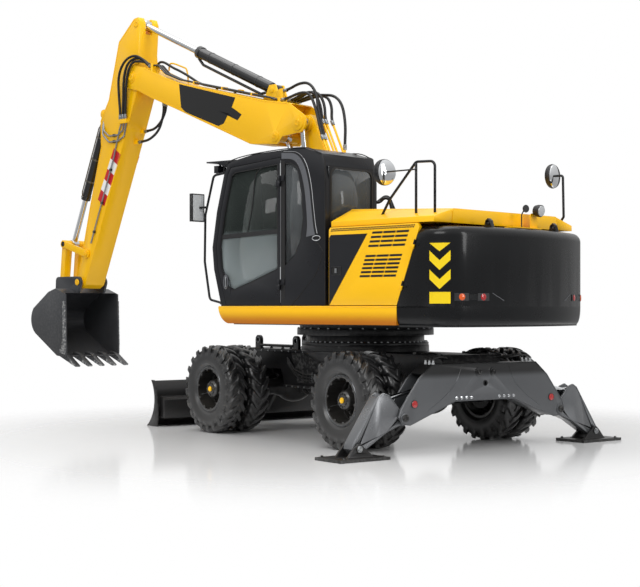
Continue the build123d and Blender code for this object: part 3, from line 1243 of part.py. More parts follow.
with BuildPart() as cab:
    add(cab_prism(cab_profile(), CAB_RIGHT_Y, CAB_LEFT_Y))
    add(cab_prism(cab_profile(CAB_WALL), CAB_RIGHT_Y + CAB_WALL, CAB_LEFT_Y - CAB_WALL),
        mode=Mode.SUBTRACT)
    add(cab_prism(DOOR_OUTLINE, CAB_LEFT_Y - CAB_WALL - 1, CAB_LEFT_Y + 1), mode=Mode.SUBTRACT)
    add(cab_prism(SIDE_WINDOW, CAB_LEFT_Y - CAB_WALL - 1, CAB_LEFT_Y + 1), mode=Mode.SUBTRACT)
    add(cab_prism(RIGHT_WINDOW, CAB_RIGHT_Y - 1, CAB_RIGHT_Y + CAB_WALL + 1), mode=Mode.SUBTRACT)
    for x0, x1, z0, z1 in ((1000, 1500, WINDSCREEN_LOW_Z, 3080), (-700, -300, 2300, 3050)):
        with Locations(((x0 + x1) / 2, (CAB_LEFT_Y + CAB_RIGHT_Y) / 2, (z0 + z1) / 2)):
            Box(x1 - x0, CAB_LEFT_Y - CAB_RIGHT_Y - 2 * PILLAR, z1 - z0, mode=Mode.SUBTRACT)
    for z in CAB_HINGE_Z:
        cab_knuckle(z + CAB_KNUCKLE_L + SEAT_GAP, -1)
    with BuildSketch(side(1175)):
        outline([(1000, 3196), (1477, 3216), (1477, 3232), (960, 3222)])
    extrude(amount=745)
    for y in (1175, 445):
        with BuildSketch(side(y)):
            outline([(1060, 3120), (1300, 3200), (1400, 3216), (1000, 3216), (1020, 3180)])
        extrude(amount=15)
    for y in ROOF_LAMP_Y:
        with Locations((1330, y, 3135)):
            Box(70, 130, 85)
        with Locations((1330, y, 3195)):
            Box(20, 20, 50)
put(cab, "cab_shell", True)

with BuildPart() as cab_door:
    add(cab_prism([(x + (6 if x == DOOR_SEAM_X else -6), z - 6 if z > 3000 else z + 2)
                   for x, z in DOOR_OUTLINE], CAB_LEFT_Y - CAB_WALL, CAB_LEFT_Y))
    add(cab_prism(DOOR_WINDOW, CAB_LEFT_Y - CAB_WALL - 1, CAB_LEFT_Y + 1), mode=Mode.SUBTRACT)
    for z in CAB_HINGE_Z:
        cab_knuckle(z, 1)
put(cab_door, "cab_door", True)

SEAT_Y = 800

with BuildPart() as seat:
    with Locations((150, SEAT_Y, CAB_FLOOR_Z + CAB_WALL + SEAT_GAP)):
        Box(300, 300, 80, align=(Align.CENTER, Align.CENTER, Align.MIN))
    with Locations((150, SEAT_Y, 1700)):
        Box(420, 400, 240)
    with Locations((170, SEAT_Y, 1880)):
        Box(520, 520, 120)
    with Locations((-110, SEAT_Y, 2210)):
        Box(120, 500, 540)
put(seat, "operator_seat", True)

CAB_MID_Y = (CAB_LEFT_Y + CAB_RIGHT_Y) / 2
GLASS_INSET = 14                  # outer face of the panes inside the cab's skin


def pane(points, y_outer):
    """Pane of side glass in the plane of a wall."""
    return cab_prism(points, y_outer - GLASS, y_outer)


def shrunk(points, gap):
    """Outline moved in towards its middle by a small gap."""
    mid_x = (min(x for x, z in points) + max(x for x, z in points)) / 2
    mid_z = (min(z for x, z in points) + max(z for x, z in points)) / 2
    half_x = (max(x for x, z in points) - min(x for x, z in points)) / 2
    half_z = (max(z for x, z in points) - min(z for x, z in points)) / 2
    return [(mid_x + (x - mid_x) * (1 - gap / half_x), mid_z + (z - mid_z) * (1 - gap / half_z))
            for x, z in points]


with BuildPart() as cab_glass:
    add(pane(shrunk(SIDE_WINDOW, GLASS_GAP), CAB_LEFT_Y - GLASS_INSET))
    add(pane(shrunk(RIGHT_WINDOW, GLASS_GAP), CAB_RIGHT_Y + GLASS_INSET + GLASS))
    front = [p for p in CAB_FRONT if p[1] > WINDSCREEN_LOW_Z]
    low_x = 1165 + (1292 - 1165) * (WINDSCREEN_LOW_Z + 1 - CAB_FLOOR_Z) / (1954 - CAB_FLOOR_Z)
    front = [(low_x, WINDSCREEN_LOW_Z + 1)] + front
    half_gap = PILLAR + GLASS_GAP
    add(cab_prism([(x - GLASS_INSET, z) for x, z in front]
                  + [(x - GLASS_INSET - GLASS, z) for x, z in reversed(front)],
                  CAB_RIGHT_Y + half_gap, CAB_LEFT_Y - half_gap))
    with Locations((CAB_REAR_X + GLASS_INSET + GLASS / 2, CAB_MID_Y, 2675)):
        Box(GLASS, CAB_LEFT_Y - CAB_RIGHT_Y - 2 * half_gap, 748)
put(cab_glass, "cab_glass", True)

with BuildPart() as door_glass:
    add(pane(shrunk(DOOR_WINDOW, GLASS_GAP), CAB_LEFT_Y - GLASS_INSET))
put(door_glass, "cab_door_glass", True)

# ---------------------------------------------------------------- rails and mirrors

RAIL_R = 14
HEATER_HOSE_X = -400              # where the two hoses leave the cab's right wall
MIRROR_STUB_X = -1900             # where the tail mirror's arm leaves its rail


with BuildPart() as rails:
    tube_run([(1115, 1190, 3080), (1330, 1190, 3060), (1480, 1190, 2600), (1490, 1190, 2050),
              (1400, 1190, 1600), (1190, 1190, 1560)], RAIL_R)
    tube_run([(-1930, 1080, 2425), (-1930, 1080, 3000), (-1680, 1080, 3010), (-1320, 1080, 2640),
              (-1180, 1080, 2428)], RAIL_R)
    with Locations((-1680, 1080, 2425)):
        Cylinder(RAIL_R, 570, align=(Align.CENTER, Align.CENTER, Align.MIN))
    tube_run([(-1600, -1100, 2425), (-1600, -1110, 2470), (-1960, -1130, 2480), (-2000, -1130, 2530),
              (-1990, -1130, 3000), (MIRROR_STUB_X, -1130, 3000)], RAIL_R, 30)
    for shift in (0, 45):
        tube_run([(HEATER_HOSE_X - shift, CAB_RIGHT_Y - SEAT_GAP, 2700), (HEATER_HOSE_X - shift, 250, 2700),
                  (HEATER_HOSE_X - 90 - shift, 160 + shift, 2800), (-560, 130 + shift, 2620),
                  (-560, 130 + shift, 2240), (BULKHEAD_X + 15 + SEAT_GAP, 130 + shift, 2240)],
                 HOSE_R, 50)
    hood_loft(1236, 900, 0, Mode.SUBTRACT)
put(rails, "rails_and_heater_hoses", True)

MIRROR_R = 135
MIRROR_ARM_R = 8                  # arm of a round mirror, clamped beside its rail
REAR_MIRROR = (-1245, 1080, 2930)
TAIL_MIRROR = (-1850, -1130, 3000)

with BuildPart() as mirrors:
    with Locations((1575, 1240, 2690)):
        Box(46, 190, 330)
    with Locations((1500, 1190 + RAIL_R + SEAT_GAP, 2690)):
        Box(120, 24, 24, align=(Align.CENTER, Align.MIN, Align.CENTER))
    for place, turn in ((REAR_MIRROR, -13), (TAIL_MIRROR, 13)):
        with Locations(Location(place, (0, 90, turn))):
            Cylinder(MIRROR_R, 30)
    for place, root, beside in ((REAR_MIRROR, -1710, RAIL_R + MIRROR_ARM_R + SEAT_GAP),
                                (TAIL_MIRROR, MIRROR_STUB_X + SEAT_GAP, 0)):
        with Locations(Location((root, place[1] + beside, place[2]), (0, 90, 0))):
            Cylinder(MIRROR_ARM_R, place[0] - root, align=(Align.CENTER, Align.CENTER, Align.MIN))
put(mirrors, "mirrors", True)
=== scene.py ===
"""Wheeled excavator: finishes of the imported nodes, and the pieces that only show.

Lengths are in metres, in the row frame: +X to the dozer blade, +Y to its left, +Z up.
Upper-structure pieces are drawn facing +X and turned by SLEW, as the upper structure parks.
"""
from math import cos, pi, radians, sin, tau

import bpy
import numpy as np
from mathutils import Matrix


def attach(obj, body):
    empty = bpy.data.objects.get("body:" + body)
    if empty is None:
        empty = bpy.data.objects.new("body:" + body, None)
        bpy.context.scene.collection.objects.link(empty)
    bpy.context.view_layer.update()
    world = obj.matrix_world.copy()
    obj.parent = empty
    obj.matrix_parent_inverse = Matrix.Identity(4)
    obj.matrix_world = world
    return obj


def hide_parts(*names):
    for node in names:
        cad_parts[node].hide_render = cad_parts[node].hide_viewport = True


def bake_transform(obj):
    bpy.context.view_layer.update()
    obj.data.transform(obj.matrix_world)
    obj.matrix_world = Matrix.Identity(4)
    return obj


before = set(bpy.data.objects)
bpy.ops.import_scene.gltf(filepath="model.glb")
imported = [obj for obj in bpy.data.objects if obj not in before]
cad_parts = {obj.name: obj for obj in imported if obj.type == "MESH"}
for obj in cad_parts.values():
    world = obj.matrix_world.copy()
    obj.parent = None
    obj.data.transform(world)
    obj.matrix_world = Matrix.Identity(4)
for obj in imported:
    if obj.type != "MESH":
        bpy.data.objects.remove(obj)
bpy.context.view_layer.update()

SLEW = radians(9.3)
COS_SLEW, SIN_SLEW = cos(SLEW), sin(SLEW)


def turned(points):
    """Points drawn in the upper structure's own frame, turned by SLEW about the Z axis."""
    p = np.asarray(points, float)
    out = p.copy()
    out[..., 0] = p[..., 0] * COS_SLEW - p[..., 1] * SIN_SLEW
    out[..., 1] = p[..., 0] * SIN_SLEW + p[..., 1] * COS_SLEW
    return out


# ---------------------------------------------------------------- meshes from arrays

def new_piece(name, verts, faces, material, body, smooth=True, split=35, slot=None):
    """Object from an (n, 3) array of points and an (m, 3 or 4) array of corners."""
    verts = np.ascontiguousarray(verts, dtype=np.float32)
    faces = np.array(faces, dtype=np.int32)
    first_twice = faces[:, 0] == faces[:, 1]
    faces[first_twice] = faces[first_twice][:, [1, 2, 3, 3]]
    kept = np.ones(faces.shape, bool)
    kept[faces[:, 2] == faces[:, 3], 3] = False
    corners = kept.sum(1)
    mesh = bpy.data.meshes.new(name)
    mesh.vertices.add(len(verts))
    mesh.vertices.foreach_set("co", verts.ravel())
    mesh.loops.add(int(corners.sum()))
    mesh.loops.foreach_set("vertex_index", faces[kept])
    mesh.polygons.add(len(faces))
    mesh.polygons.foreach_set("loop_start", (np.cumsum(corners) - corners).astype(np.int32))
    mesh.polygons.foreach_set("use_smooth", np.full(len(faces), smooth))
    mesh.update(calc_edges=True)
    mesh.validate()
    piece = bpy.data.objects.new(name, mesh)
    bpy.context.scene.collection.objects.link(piece)
    mesh.materials.append(material)
    if smooth and split:
        piece.modifiers.new("sharp", "EDGE_SPLIT").split_angle = radians(split)
    if body:
        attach(piece, body)
    return piece


def grid_faces(rows, columns, wrap_rows=False, wrap_columns=False):
    """Corners of the quads between a grid's neighbouring points, closed round where wrapped."""
    r = np.arange(rows if wrap_rows else rows - 1)[:, None]
    c = np.arange(columns if wrap_columns else columns - 1)[None, :]
    r1, c1 = (r + 1) % rows, (c + 1) % columns
    quads = [r * columns + c, r1 * columns + c, r1 * columns + c1, r * columns + c1]
    return np.stack([np.broadcast_to(q, (len(r), c.shape[1])) for q in quads], -1).reshape(-1, 4)


def join_parts(*parts):
    """One (verts, faces) pair from several, with their corners counted on."""
    offset, verts, faces = 0, [], []
    for v, f in parts:
        v, f = v.reshape(-1, 3), np.asarray(f)
        if f.shape[1] == 3:
            f = f[:, [0, 1, 2, 2]]
        verts.append(v)
        faces.append(f + offset)
        offset += len(v)
    return np.concatenate(verts), np.concatenate(faces)


def fan(ring_points, flip=False):
    """Triangles from a closed ring of points to their mean."""
    n = len(ring_points)
    verts = np.concatenate([ring_points, ring_points.mean(0)[None]])
    i = np.arange(n)
    faces = np.stack([i, (i + 1) % n, np.full(n, n), np.full(n, n)], -1)
    return verts, faces[:, ::-1] if flip else faces


def basis(axis, side=None):
    """Rows: two unit vectors across a direction, and the direction itself."""
    w = np.asarray(axis, float)
    w = w / np.linalg.norm(w)
    ref = np.asarray(side if side is not None else ((0, 0, 1) if abs(w[2]) < 0.9 else (1, 0, 0)), float)
    u = np.cross(ref, w)
    u /= np.linalg.norm(u)
    return np.stack([u, np.cross(w, u), w])


def lathe(profile, origin=(0, 0, 0), axis=(0, 0, 1), steps=48):
    """Surface of revolution: ring k has radius profile[k][0] at height profile[k][1] on the axis."""
    prof = np.asarray(profile, float)
    a = np.arange(steps) * tau / steps
    rows = np.stack([prof[:, 0, None] * np.cos(a), prof[:, 0, None] * np.sin(a),
                     np.broadcast_to(prof[:, 1, None], (len(prof), steps))], -1)
    rows = rows @ basis(axis) + np.asarray(origin, float)
    parts = [(rows, grid_faces(len(prof), steps, wrap_columns=True)[:, ::-1])]
    parts += [fan(rows[k], k != 0) for k in (0, -1) if prof[k, 0] < 0.005]
    return join_parts(*parts)


def smooth_path(points, per_run=10):
    """Centripetal-like Catmull-Rom curve through the points, per_run samples between two."""
    p = np.asarray(points, float)
    last = p[-1:]
    p = np.concatenate([2 * p[:1] - p[1:2], p, 2 * last - p[-2:-1]])
    t = np.linspace(0, 1, per_run, endpoint=False)[:, None, None]
    a, b, c, d = p[:-3], p[1:-2], p[2:-1], p[3:]
    q = 0.5 * (2 * b + (c - a) * t + (2 * a - 5 * b + 4 * c - d) * t ** 2
               + (3 * b - a - 3 * c + d) * t ** 3)
    return np.concatenate([q.transpose(1, 0, 2).reshape(-1, 3), last])


def tube(path, radius, sides=12, closed_ends=True, flat=1.0):
    """Round skin about a path; the cross-section keeps its first side across the path's plane."""
    p = np.asarray(path, float)
    tangent = np.gradient(p, axis=0)
    tangent /= np.linalg.norm(tangent, axis=1, keepdims=True)
    spread = np.linalg.svd(p - p.mean(0))[2]
    side = spread[2] + 1e-3 * spread[1]
    u = np.cross(tangent, side)
    u /= np.linalg.norm(u, axis=1, keepdims=True)
    v = np.cross(tangent, u)
    a = np.arange(sides) * tau / sides
    r = np.broadcast_to(np.asarray(radius, float), (len(p),))[:, None, None]
    rings = p[:, None] + r * (np.cos(a)[None, :, None] * u[:, None]
                              + flat * np.sin(a)[None, :, None] * v[:, None])
    parts = [(rings.reshape(-1, 3), grid_faces(len(p), sides, wrap_columns=True))]
    if closed_ends:
        parts += [fan(rings[0], True), fan(rings[-1])]
    return join_parts(*parts)


def mirrored(part):
    """The same part on the other side of the middle plane."""
    return part[0] * [1, -1, 1], part[1][:, ::-1]


def slab(outline, thickness, origin, u, v):
    """Flat plate: an outline in the plane of u and v, thick along their cross product, fanned."""
    o, u, v = (np.asarray(x, float) for x in (origin, u, v))
    p = np.asarray(outline, float)
    n = np.cross(u, v)
    low = o + p[:, :1] * u + p[:, 1:] * v
    high = low + n * thickness
    k = len(p)
    i = np.arange(k)
    wall = np.stack([i, (i + 1) % k, (i + 1) % k + k, i + k], -1)
    return join_parts((np.concatenate([low, high]), wall), fan(low, True), fan(high))


def copies(part, places, axes=None):
    """A part drawn about the origin with +Z as its axis, put at each place along each axis."""
    verts, faces = part
    places = np.atleast_2d(np.asarray(places, float))
    n = len(places)
    if axes is None:
        axes = [(0, 0, 1)] * n
    turns = np.stack([basis(a) for a in axes]) if len(axes) == n else np.stack([basis(axes[0])] * n)
    out = np.einsum("vk,nkj->nvj", verts, turns) + places[:, None]
    counted = faces[None] + (np.arange(n) * len(verts))[:, None, None]
    return out.reshape(-1, 3), counted.reshape(-1, faces.shape[1])


def hex_bolt(radius, height, washer=1.35):
    """Hexagon head with a chamfered top on a round washer, standing on the plane z = 0."""
    plate = lathe([(radius * washer, 0), (radius * washer, height * 0.22), (radius * 0.2, height * 0.22)],
                  steps=12)
    head = lathe([(radius, height * 0.22), (radius, height * 0.86), (radius * 0.86, height),
                  (radius * 0.02, height)], steps=6)
    return join_parts(plate, head)


# ---------------------------------------------------------------- shader groups

def node_group(name, inputs, outputs):
    """Empty shader group with named sockets; inputs are (name, kind, value)."""
    tree = bpy.data.node_groups.new(name, "ShaderNodeTree")
    for label, kind, value in inputs:
        socket = tree.interface.new_socket(name=label, in_out="INPUT", socket_type="NodeSocket" + kind)
        socket.default_value = value
    for label, kind in outputs:
        tree.interface.new_socket(name=label, in_out="OUTPUT", socket_type="NodeSocket" + kind)
    return tree, tree.nodes.new("NodeGroupInput"), tree.nodes.new("NodeGroupOutput")


def add_node(tree, kind, links=None, **settings):
    """Shader node with its settings; links maps an input to a socket or to a plain value."""
    node = tree.nodes.new("ShaderNode" + kind)
    for key, value in settings.items():
        setattr(node, key, value)
    for key, value in (links or {}).items():
        if isinstance(value, bpy.types.NodeSocket):
            tree.links.new(value, node.inputs[key])
        else:
            node.inputs[key].default_value = value
    return node


def math_node(tree, operation, a, b=0.0, clamp=False):
    """Value of a Math node on two sockets or numbers."""
    return add_node(tree, "Math", {0: a, 1: b}, operation=operation, use_clamp=clamp).outputs[0]


def mix_colour(tree, factor, a, b):
    """Colour a * (1 - factor) + b * factor."""
    return add_node(tree, "Mix", {"Factor": factor, 6: a, 7: b}, data_type="RGBA").outputs[2]


def dust_group():
    """Road dust: thickest low down and on faces that look up, broken by noise."""
    tree, gin, gout = node_group("road dust", [
        ("Colour", "Color", (0.5, 0.5, 0.5, 1)), ("Roughness", "Float", 0.4),
        ("Dust", "Float", 0.2), ("Dust Height", "Float", 1.4), ("Mottle", "Float", 0.1),
        ("Scale", "Float", 3.0)], [("Colour", "Color"), ("Roughness", "Float")])
    place = add_node(tree, "TexCoord").outputs["Object"]
    cloud = add_node(tree, "TexNoise", {"Vector": place, "Scale": gin.outputs["Scale"],
                                        "Detail": 5.0, "Roughness": 0.62}).outputs[0]
    speck = add_node(tree, "TexNoise", {"Vector": place, "Scale": 70.0, "Detail": 3.0}).outputs[0]
    low = add_node(tree, "MapRange", {"Value": add_node(tree, "SeparateXYZ", {0: place}).outputs[2],
                                      1: 0.0, 2: gin.outputs["Dust Height"], 3: 1.0, 4: 0.0}).outputs[0]
    normal = add_node(tree, "NewGeometry").outputs["Normal"]
    up = math_node(tree, "MAXIMUM", add_node(tree, "SeparateXYZ", {0: normal}).outputs[2], 0.0)
    amount = math_node(tree, "ADD", math_node(tree, "MULTIPLY", low, 0.8),
                       math_node(tree, "MULTIPLY", up, 0.35))
    amount = math_node(tree, "MULTIPLY", amount, gin.outputs["Dust"])
    broken = math_node(tree, "MULTIPLY",
                       math_node(tree, "ADD", cloud, math_node(tree, "MULTIPLY", speck, 0.5)), 1.1)
    dust = math_node(tree, "MULTIPLY", amount, broken, True)
    shade = math_node(tree, "MULTIPLY", math_node(tree, "SUBTRACT", cloud, 0.5), gin.outputs["Mottle"])
    varied = add_node(tree, "HueSaturation", {"Value": math_node(tree, "ADD", 1.0, shade),
                                              "Color": gin.outputs["Colour"]}).outputs[0]
    tree.links.new(mix_colour(tree, dust, varied, (0.32, 0.285, 0.235, 1)), gout.inputs["Colour"])
    rough = math_node(tree, "ADD", gin.outputs["Roughness"], math_node(tree, "MULTIPLY", dust, 0.45))
    rough = math_node(tree, "ADD", rough, math_node(tree, "MULTIPLY", shade, 0.6), True)
    tree.links.new(rough, gout.inputs["Roughness"])
    return tree


def grain_group():
    """Fine relief: noise of a set scale, stretched along one axis if asked, as a normal."""
    tree, gin, gout = node_group("fine relief", [
        ("Scale", "Float", 400.0), ("Depth", "Float", 0.1), ("Stretch", "Vector", (1, 1, 1))],
        [("Normal", "Vector")])
    place = add_node(tree, "TexCoord").outputs["Object"]
    scaled = add_node(tree, "VectorMath", {0: place, 1: gin.outputs["Stretch"]},
                      operation="MULTIPLY").outputs[0]
    noise = add_node(tree, "TexNoise",
                     {"Vector": scaled, "Scale": gin.outputs["Scale"], "Detail": 4.0}).outputs[0]
    bump = add_node(tree, "Bump", {"Height": noise, "Strength": gin.outputs["Depth"], "Distance": 0.002})
    tree.links.new(bump.outputs[0], gout.inputs["Normal"])
    return tree


def wear_group():
    """Mask of rubbed edges: the surface's convex curvature, broken by noise."""
    tree, gin, gout = node_group("rubbed edges", [("Wear", "Float", 0.3), ("Scale", "Float", 30.0)],
                                 [("Mask", "Float")])
    place = add_node(tree, "TexCoord").outputs["Object"]
    point = add_node(tree, "NewGeometry").outputs["Pointiness"]
    edge = add_node(tree, "MapRange", {"Value": point, 1: 0.53, 2: 0.62, 3: 0.0, 4: 1.0}).outputs[0]
    noise = add_node(tree, "TexNoise",
                     {"Vector": place, "Scale": gin.outputs["Scale"], "Detail": 6.0}).outputs[0]
    broken = add_node(tree, "MapRange", {"Value": noise, 1: 0.45, 2: 0.62, 3: 0.0, 4: 1.0}).outputs[0]
    mask = math_node(tree, "MULTIPLY", math_node(tree, "MULTIPLY", edge, broken), gin.outputs["Wear"], True)
    tree.links.new(mask, gout.inputs["Mask"])
    return tree


DUST, GRAIN, WEAR = dust_group(), grain_group(), wear_group()


def linear(code):
    """Linear colour of a hex code."""
    rgb = np.array([int(code[i:i + 2], 16) for i in (1, 3, 5)]) / 255
    return tuple(np.where(rgb < 0.04045, rgb / 12.92, ((rgb + 0.055) / 1.055) ** 2.4)) + (1.0,)


def use_group(tree, group, **values):
    """The group placed in a material, with its own values; an underscore stands for a space."""
    node = tree.nodes.new("ShaderNodeGroup")
    node.node_tree = group
    for key, value in values.items():
        key = key.replace("_", " ")
        if isinstance(value, bpy.types.NodeSocket):
            tree.links.new(value, node.inputs[key])
        else:
            node.inputs[key].default_value = value
    return node


def surface(name, colour, rough, dust=0.15, height=1.3, mottle=0.12, wear=0.0, bare="#8C8C8A",
            relief=0.08, relief_scale=350.0, stretch=(1, 1, 1), tint=None, **set_directly):
    """Material: a base colour with dust, rubbed edges and fine relief; the rest is set on Principled."""
    mat = bpy.data.materials.new(name)
    mat.use_nodes = True
    tree = mat.node_tree
    shader = tree.nodes["Principled BSDF"]
    base = tint(tree) if tint else linear(colour)
    if wear:
        mask = use_group(tree, WEAR, Wear=wear).outputs[0]
        base = mix_colour(tree, mask, base, linear(bare))
    dusty = use_group(tree, DUST, Colour=base, Roughness=rough, Dust=dust, Dust_Height=height,
                      Mottle=mottle)
    tree.links.new(dusty.outputs[0], shader.inputs["Base Color"])
    tree.links.new(dusty.outputs[1], shader.inputs["Roughness"])
    if relief:
        grain = use_group(tree, GRAIN, Scale=relief_scale, Depth=relief, Stretch=stretch)
        tree.links.new(grain.outputs[0], shader.inputs["Normal"])
    for key, value in set_directly.items():
        shader.inputs[key.replace("_", " ")].default_value = value
    return mat


def height_of(tree):
    """Height above the ground of the point that is shaded."""
    return add_node(tree, "SeparateXYZ", {0: add_node(tree, "TexCoord").outputs["Object"]}).outputs[2]


def skirt_painted_shade(tree):
    """Yellow that deepens towards the rail's lower edge, painted in place of the shade there."""
    height = height_of(tree)
    low = add_node(tree, "MapRange", {"Value": height, 1: 1.335, 2: 1.49, 3: 1.0, 4: 0.0},
                   interpolation_type="SMOOTHSTEP")
    return mix_colour(tree, low.outputs[0], linear("#FFC300"), linear("#B86A00"))


def beam_painted_reflection(tree):
    """Satin black along the beam's top, turning lower down to a grey that is a painted reflection of the
    pale floor.
    """
    height = height_of(tree)
    top = add_node(tree, "MapRange", {"Value": height, 1: 0.755, 2: 0.835, 3: 0.0, 4: 1.0},
                   interpolation_type="SMOOTHSTEP")
    return mix_colour(tree, top.outputs[0], linear("#57595C"), linear("#151618"))


# the rails' yellow deepens to a painted shade towards their lower edge
SKIRT_YELLOW_PAINTED_SHADE = surface("yellow rail paint with painted shade", "#FFC300", 0.34, dust=0.03, mottle=0.05, relief=0.03,
                       relief_scale=600,
                       tint=skirt_painted_shade, Coat_Weight=0.2, Coat_Roughness=0.15, Specular_IOR_Level=0.35)
YELLOW = surface("yellow paint", "#FFC300", 0.34, dust=0.03, mottle=0.05, relief=0.03, relief_scale=600,
                 Coat_Weight=0.2, Coat_Roughness=0.15, Specular_IOR_Level=0.35)
CAB_BLACK = surface("charcoal gloss paint", "#191A1E", 0.30, dust=0.02, mottle=0.3, relief=0.03,
                    relief_scale=500, Coat_Weight=0.3, Coat_Roughness=0.08, Specular_IOR_Level=0.2)
BALLAST_BLACK = surface("black gloss casting", "#0E0F11", 0.28, dust=0.02, mottle=0.3, relief=0.08,
                        relief_scale=60, Coat_Weight=0.35, Coat_Roughness=0.12, Specular_IOR_Level=0.12)
CHASSIS_BLACK = surface("black frame paint", "#141518", 0.34, dust=0.05, mottle=0.25, wear=0.25,
                        relief=0.06, relief_scale=200, Coat_Weight=0.2, Coat_Roughness=0.25,
                        Specular_IOR_Level=0.25)
# the beam's paint is satin black; the grey below its top is a painted reflection
BEAM_BLACK_PAINTED_REFLECTION = surface("satin black paint with painted reflection", "#5E6063", 0.30, tint=beam_painted_reflection, Metallic=0.45, dust=0.04,
                    mottle=0.10, wear=0.12,
                    relief=0.03, relief_scale=160, Coat_Weight=0.3, Coat_Roughness=0.3)
LEG_GREY = surface("satin grey paint", "#65676A", 0.26, Metallic=0.45, dust=0.03, mottle=0.08, wear=0.10,
                   relief=0.03, relief_scale=160, Coat_Weight=0.4, Coat_Roughness=0.2)
RAM_BLACK = surface("ram black paint", "#101113", 0.25, dust=0.05, relief=0.05, Coat_Weight=0.5,
                    Coat_Roughness=0.1)
CHROME = surface("hard chrome", "#D9DBDD", 0.09, dust=0.02, mottle=0.05, relief=0.04, relief_scale=900,
                 stretch=(1, 1, 0.02), Metallic=1.0)
RUBBER = surface("tyre rubber", "#151618", 0.34, dust=0.05, height=1.1, mottle=0.30, relief=0.12,
                 relief_scale=260, Specular_IOR_Level=0.7)
RIM_BLACK = surface("black wheel paint", "#121315", 0.3, dust=0.10, mottle=0.3, relief=0.06,
                    Coat_Weight=0.5,
                    Coat_Roughness=0.15)
LIP_GREY = surface("worn rim lip", "#5E6063", 0.24, dust=0.04, relief=0.04, Metallic=0.9)
BUCKET_STEEL = surface("dug bucket steel", "#3F4145", 0.36, dust=0.12, height=2.0, mottle=0.5, wear=0.6,
                       relief=0.18, relief_scale=40, Metallic=0.35)
TOOTH_STEEL = surface("polished tooth steel", "#77797C", 0.28, dust=0.06, mottle=0.6, wear=0.9,
                      bare="#D8D8D6",
                      relief=0.25, relief_scale=50, Metallic=0.9)
HOSE = surface("hose rubber", "#121213", 0.42, dust=0.05, relief=0.2, relief_scale=500,
               Specular_IOR_Level=0.5)
ZINC = surface("zinc plating", "#9EA1A3", 0.3, dust=0.08, mottle=0.4, wear=0.3, relief=0.08, Metallic=0.95)
DARK_BOLT = surface("blackened bolt", "#2B2C2E", 0.35, dust=0.1, wear=0.6, relief=0.1, Metallic=0.7)
PLASTIC = surface("grained black plastic", "#19191B", 0.5, dust=0.05, relief=0.35, relief_scale=900)
SEAL = surface("seal rubber", "#0C0C0D", 0.6, dust=0.05, relief=0.15, relief_scale=700)
ENGINE_GREY = surface("engine casting", "#55585A", 0.55, dust=0.3, height=3.0, mottle=0.4, relief=0.4,
                      relief_scale=90, Metallic=0.4)
ARCH_GREY = surface("grey pillar paint", "#55575C", 0.28, dust=0.02, mottle=0.1, relief=0.03,
                    Coat_Weight=0.6,
                    Coat_Roughness=0.1)
BRIGHT = surface("polished steel", "#E4E6E8", 0.07, dust=0.02, mottle=0.05, relief=0.02, Metallic=1.0)
DECAL_YELLOW = surface("reflective yellow sheet", "#F4D200", 0.35, dust=0.03, relief=0.12,
                       relief_scale=1200)
MIRROR_GLASS = surface("mirror glass", "#C9CED2", 0.05, dust=0.02, mottle=0.05, relief=0.0, Metallic=1.0)
# the front mirror's glass is a pale diffuse colour: a painted reflection, not a metal one
FRONT_MIRROR_PAINTED_REFLECTION = surface("silvered glass with painted reflection", "#E2E5E7", 0.12, dust=0.02, mottle=0.15, relief=0.0)
PIPE_STEEL = surface("phosphated pipe", "#6E6A60", 0.35, dust=0.05, mottle=0.3, relief=0.05, Metallic=0.85)
AMBER_LENS = surface("amber lens", "#D8571A", 0.12, dust=0.03, relief=0.03, Coat_Weight=0.5)
RED_SHEET = surface("reflective red sheet", "#C4101C", 0.35, dust=0.03, relief=0.12, relief_scale=1200)
WHITE_SHEET = surface("reflective white sheet", "#F2F2F0", 0.35, dust=0.03, relief=0.12, relief_scale=1200)
DECAL_BLACK = surface("black sheet", "#0D0D0E", 0.3, dust=0.02, relief=0.04)
RED_LENS = surface("red lens", "#B80D10", 0.12, dust=0.02, relief=0.3, relief_scale=220,
                   Transmission_Weight=0.25, Coat_Weight=1.0)
WHITE_LENS = surface("clear lens", "#E9ECEE", 0.08, dust=0.02, relief=0.35, relief_scale=200,
                     Transmission_Weight=0.4, Coat_Weight=1.0)
# near-black for screens, seams and cups, and as painted shade in the door's holes and slots
DARK_SCREEN_AND_SHADE = surface("dark screen and painted shade", "#0A0A0B", 0.7, dust=0.1, relief=0.5, relief_scale=300)


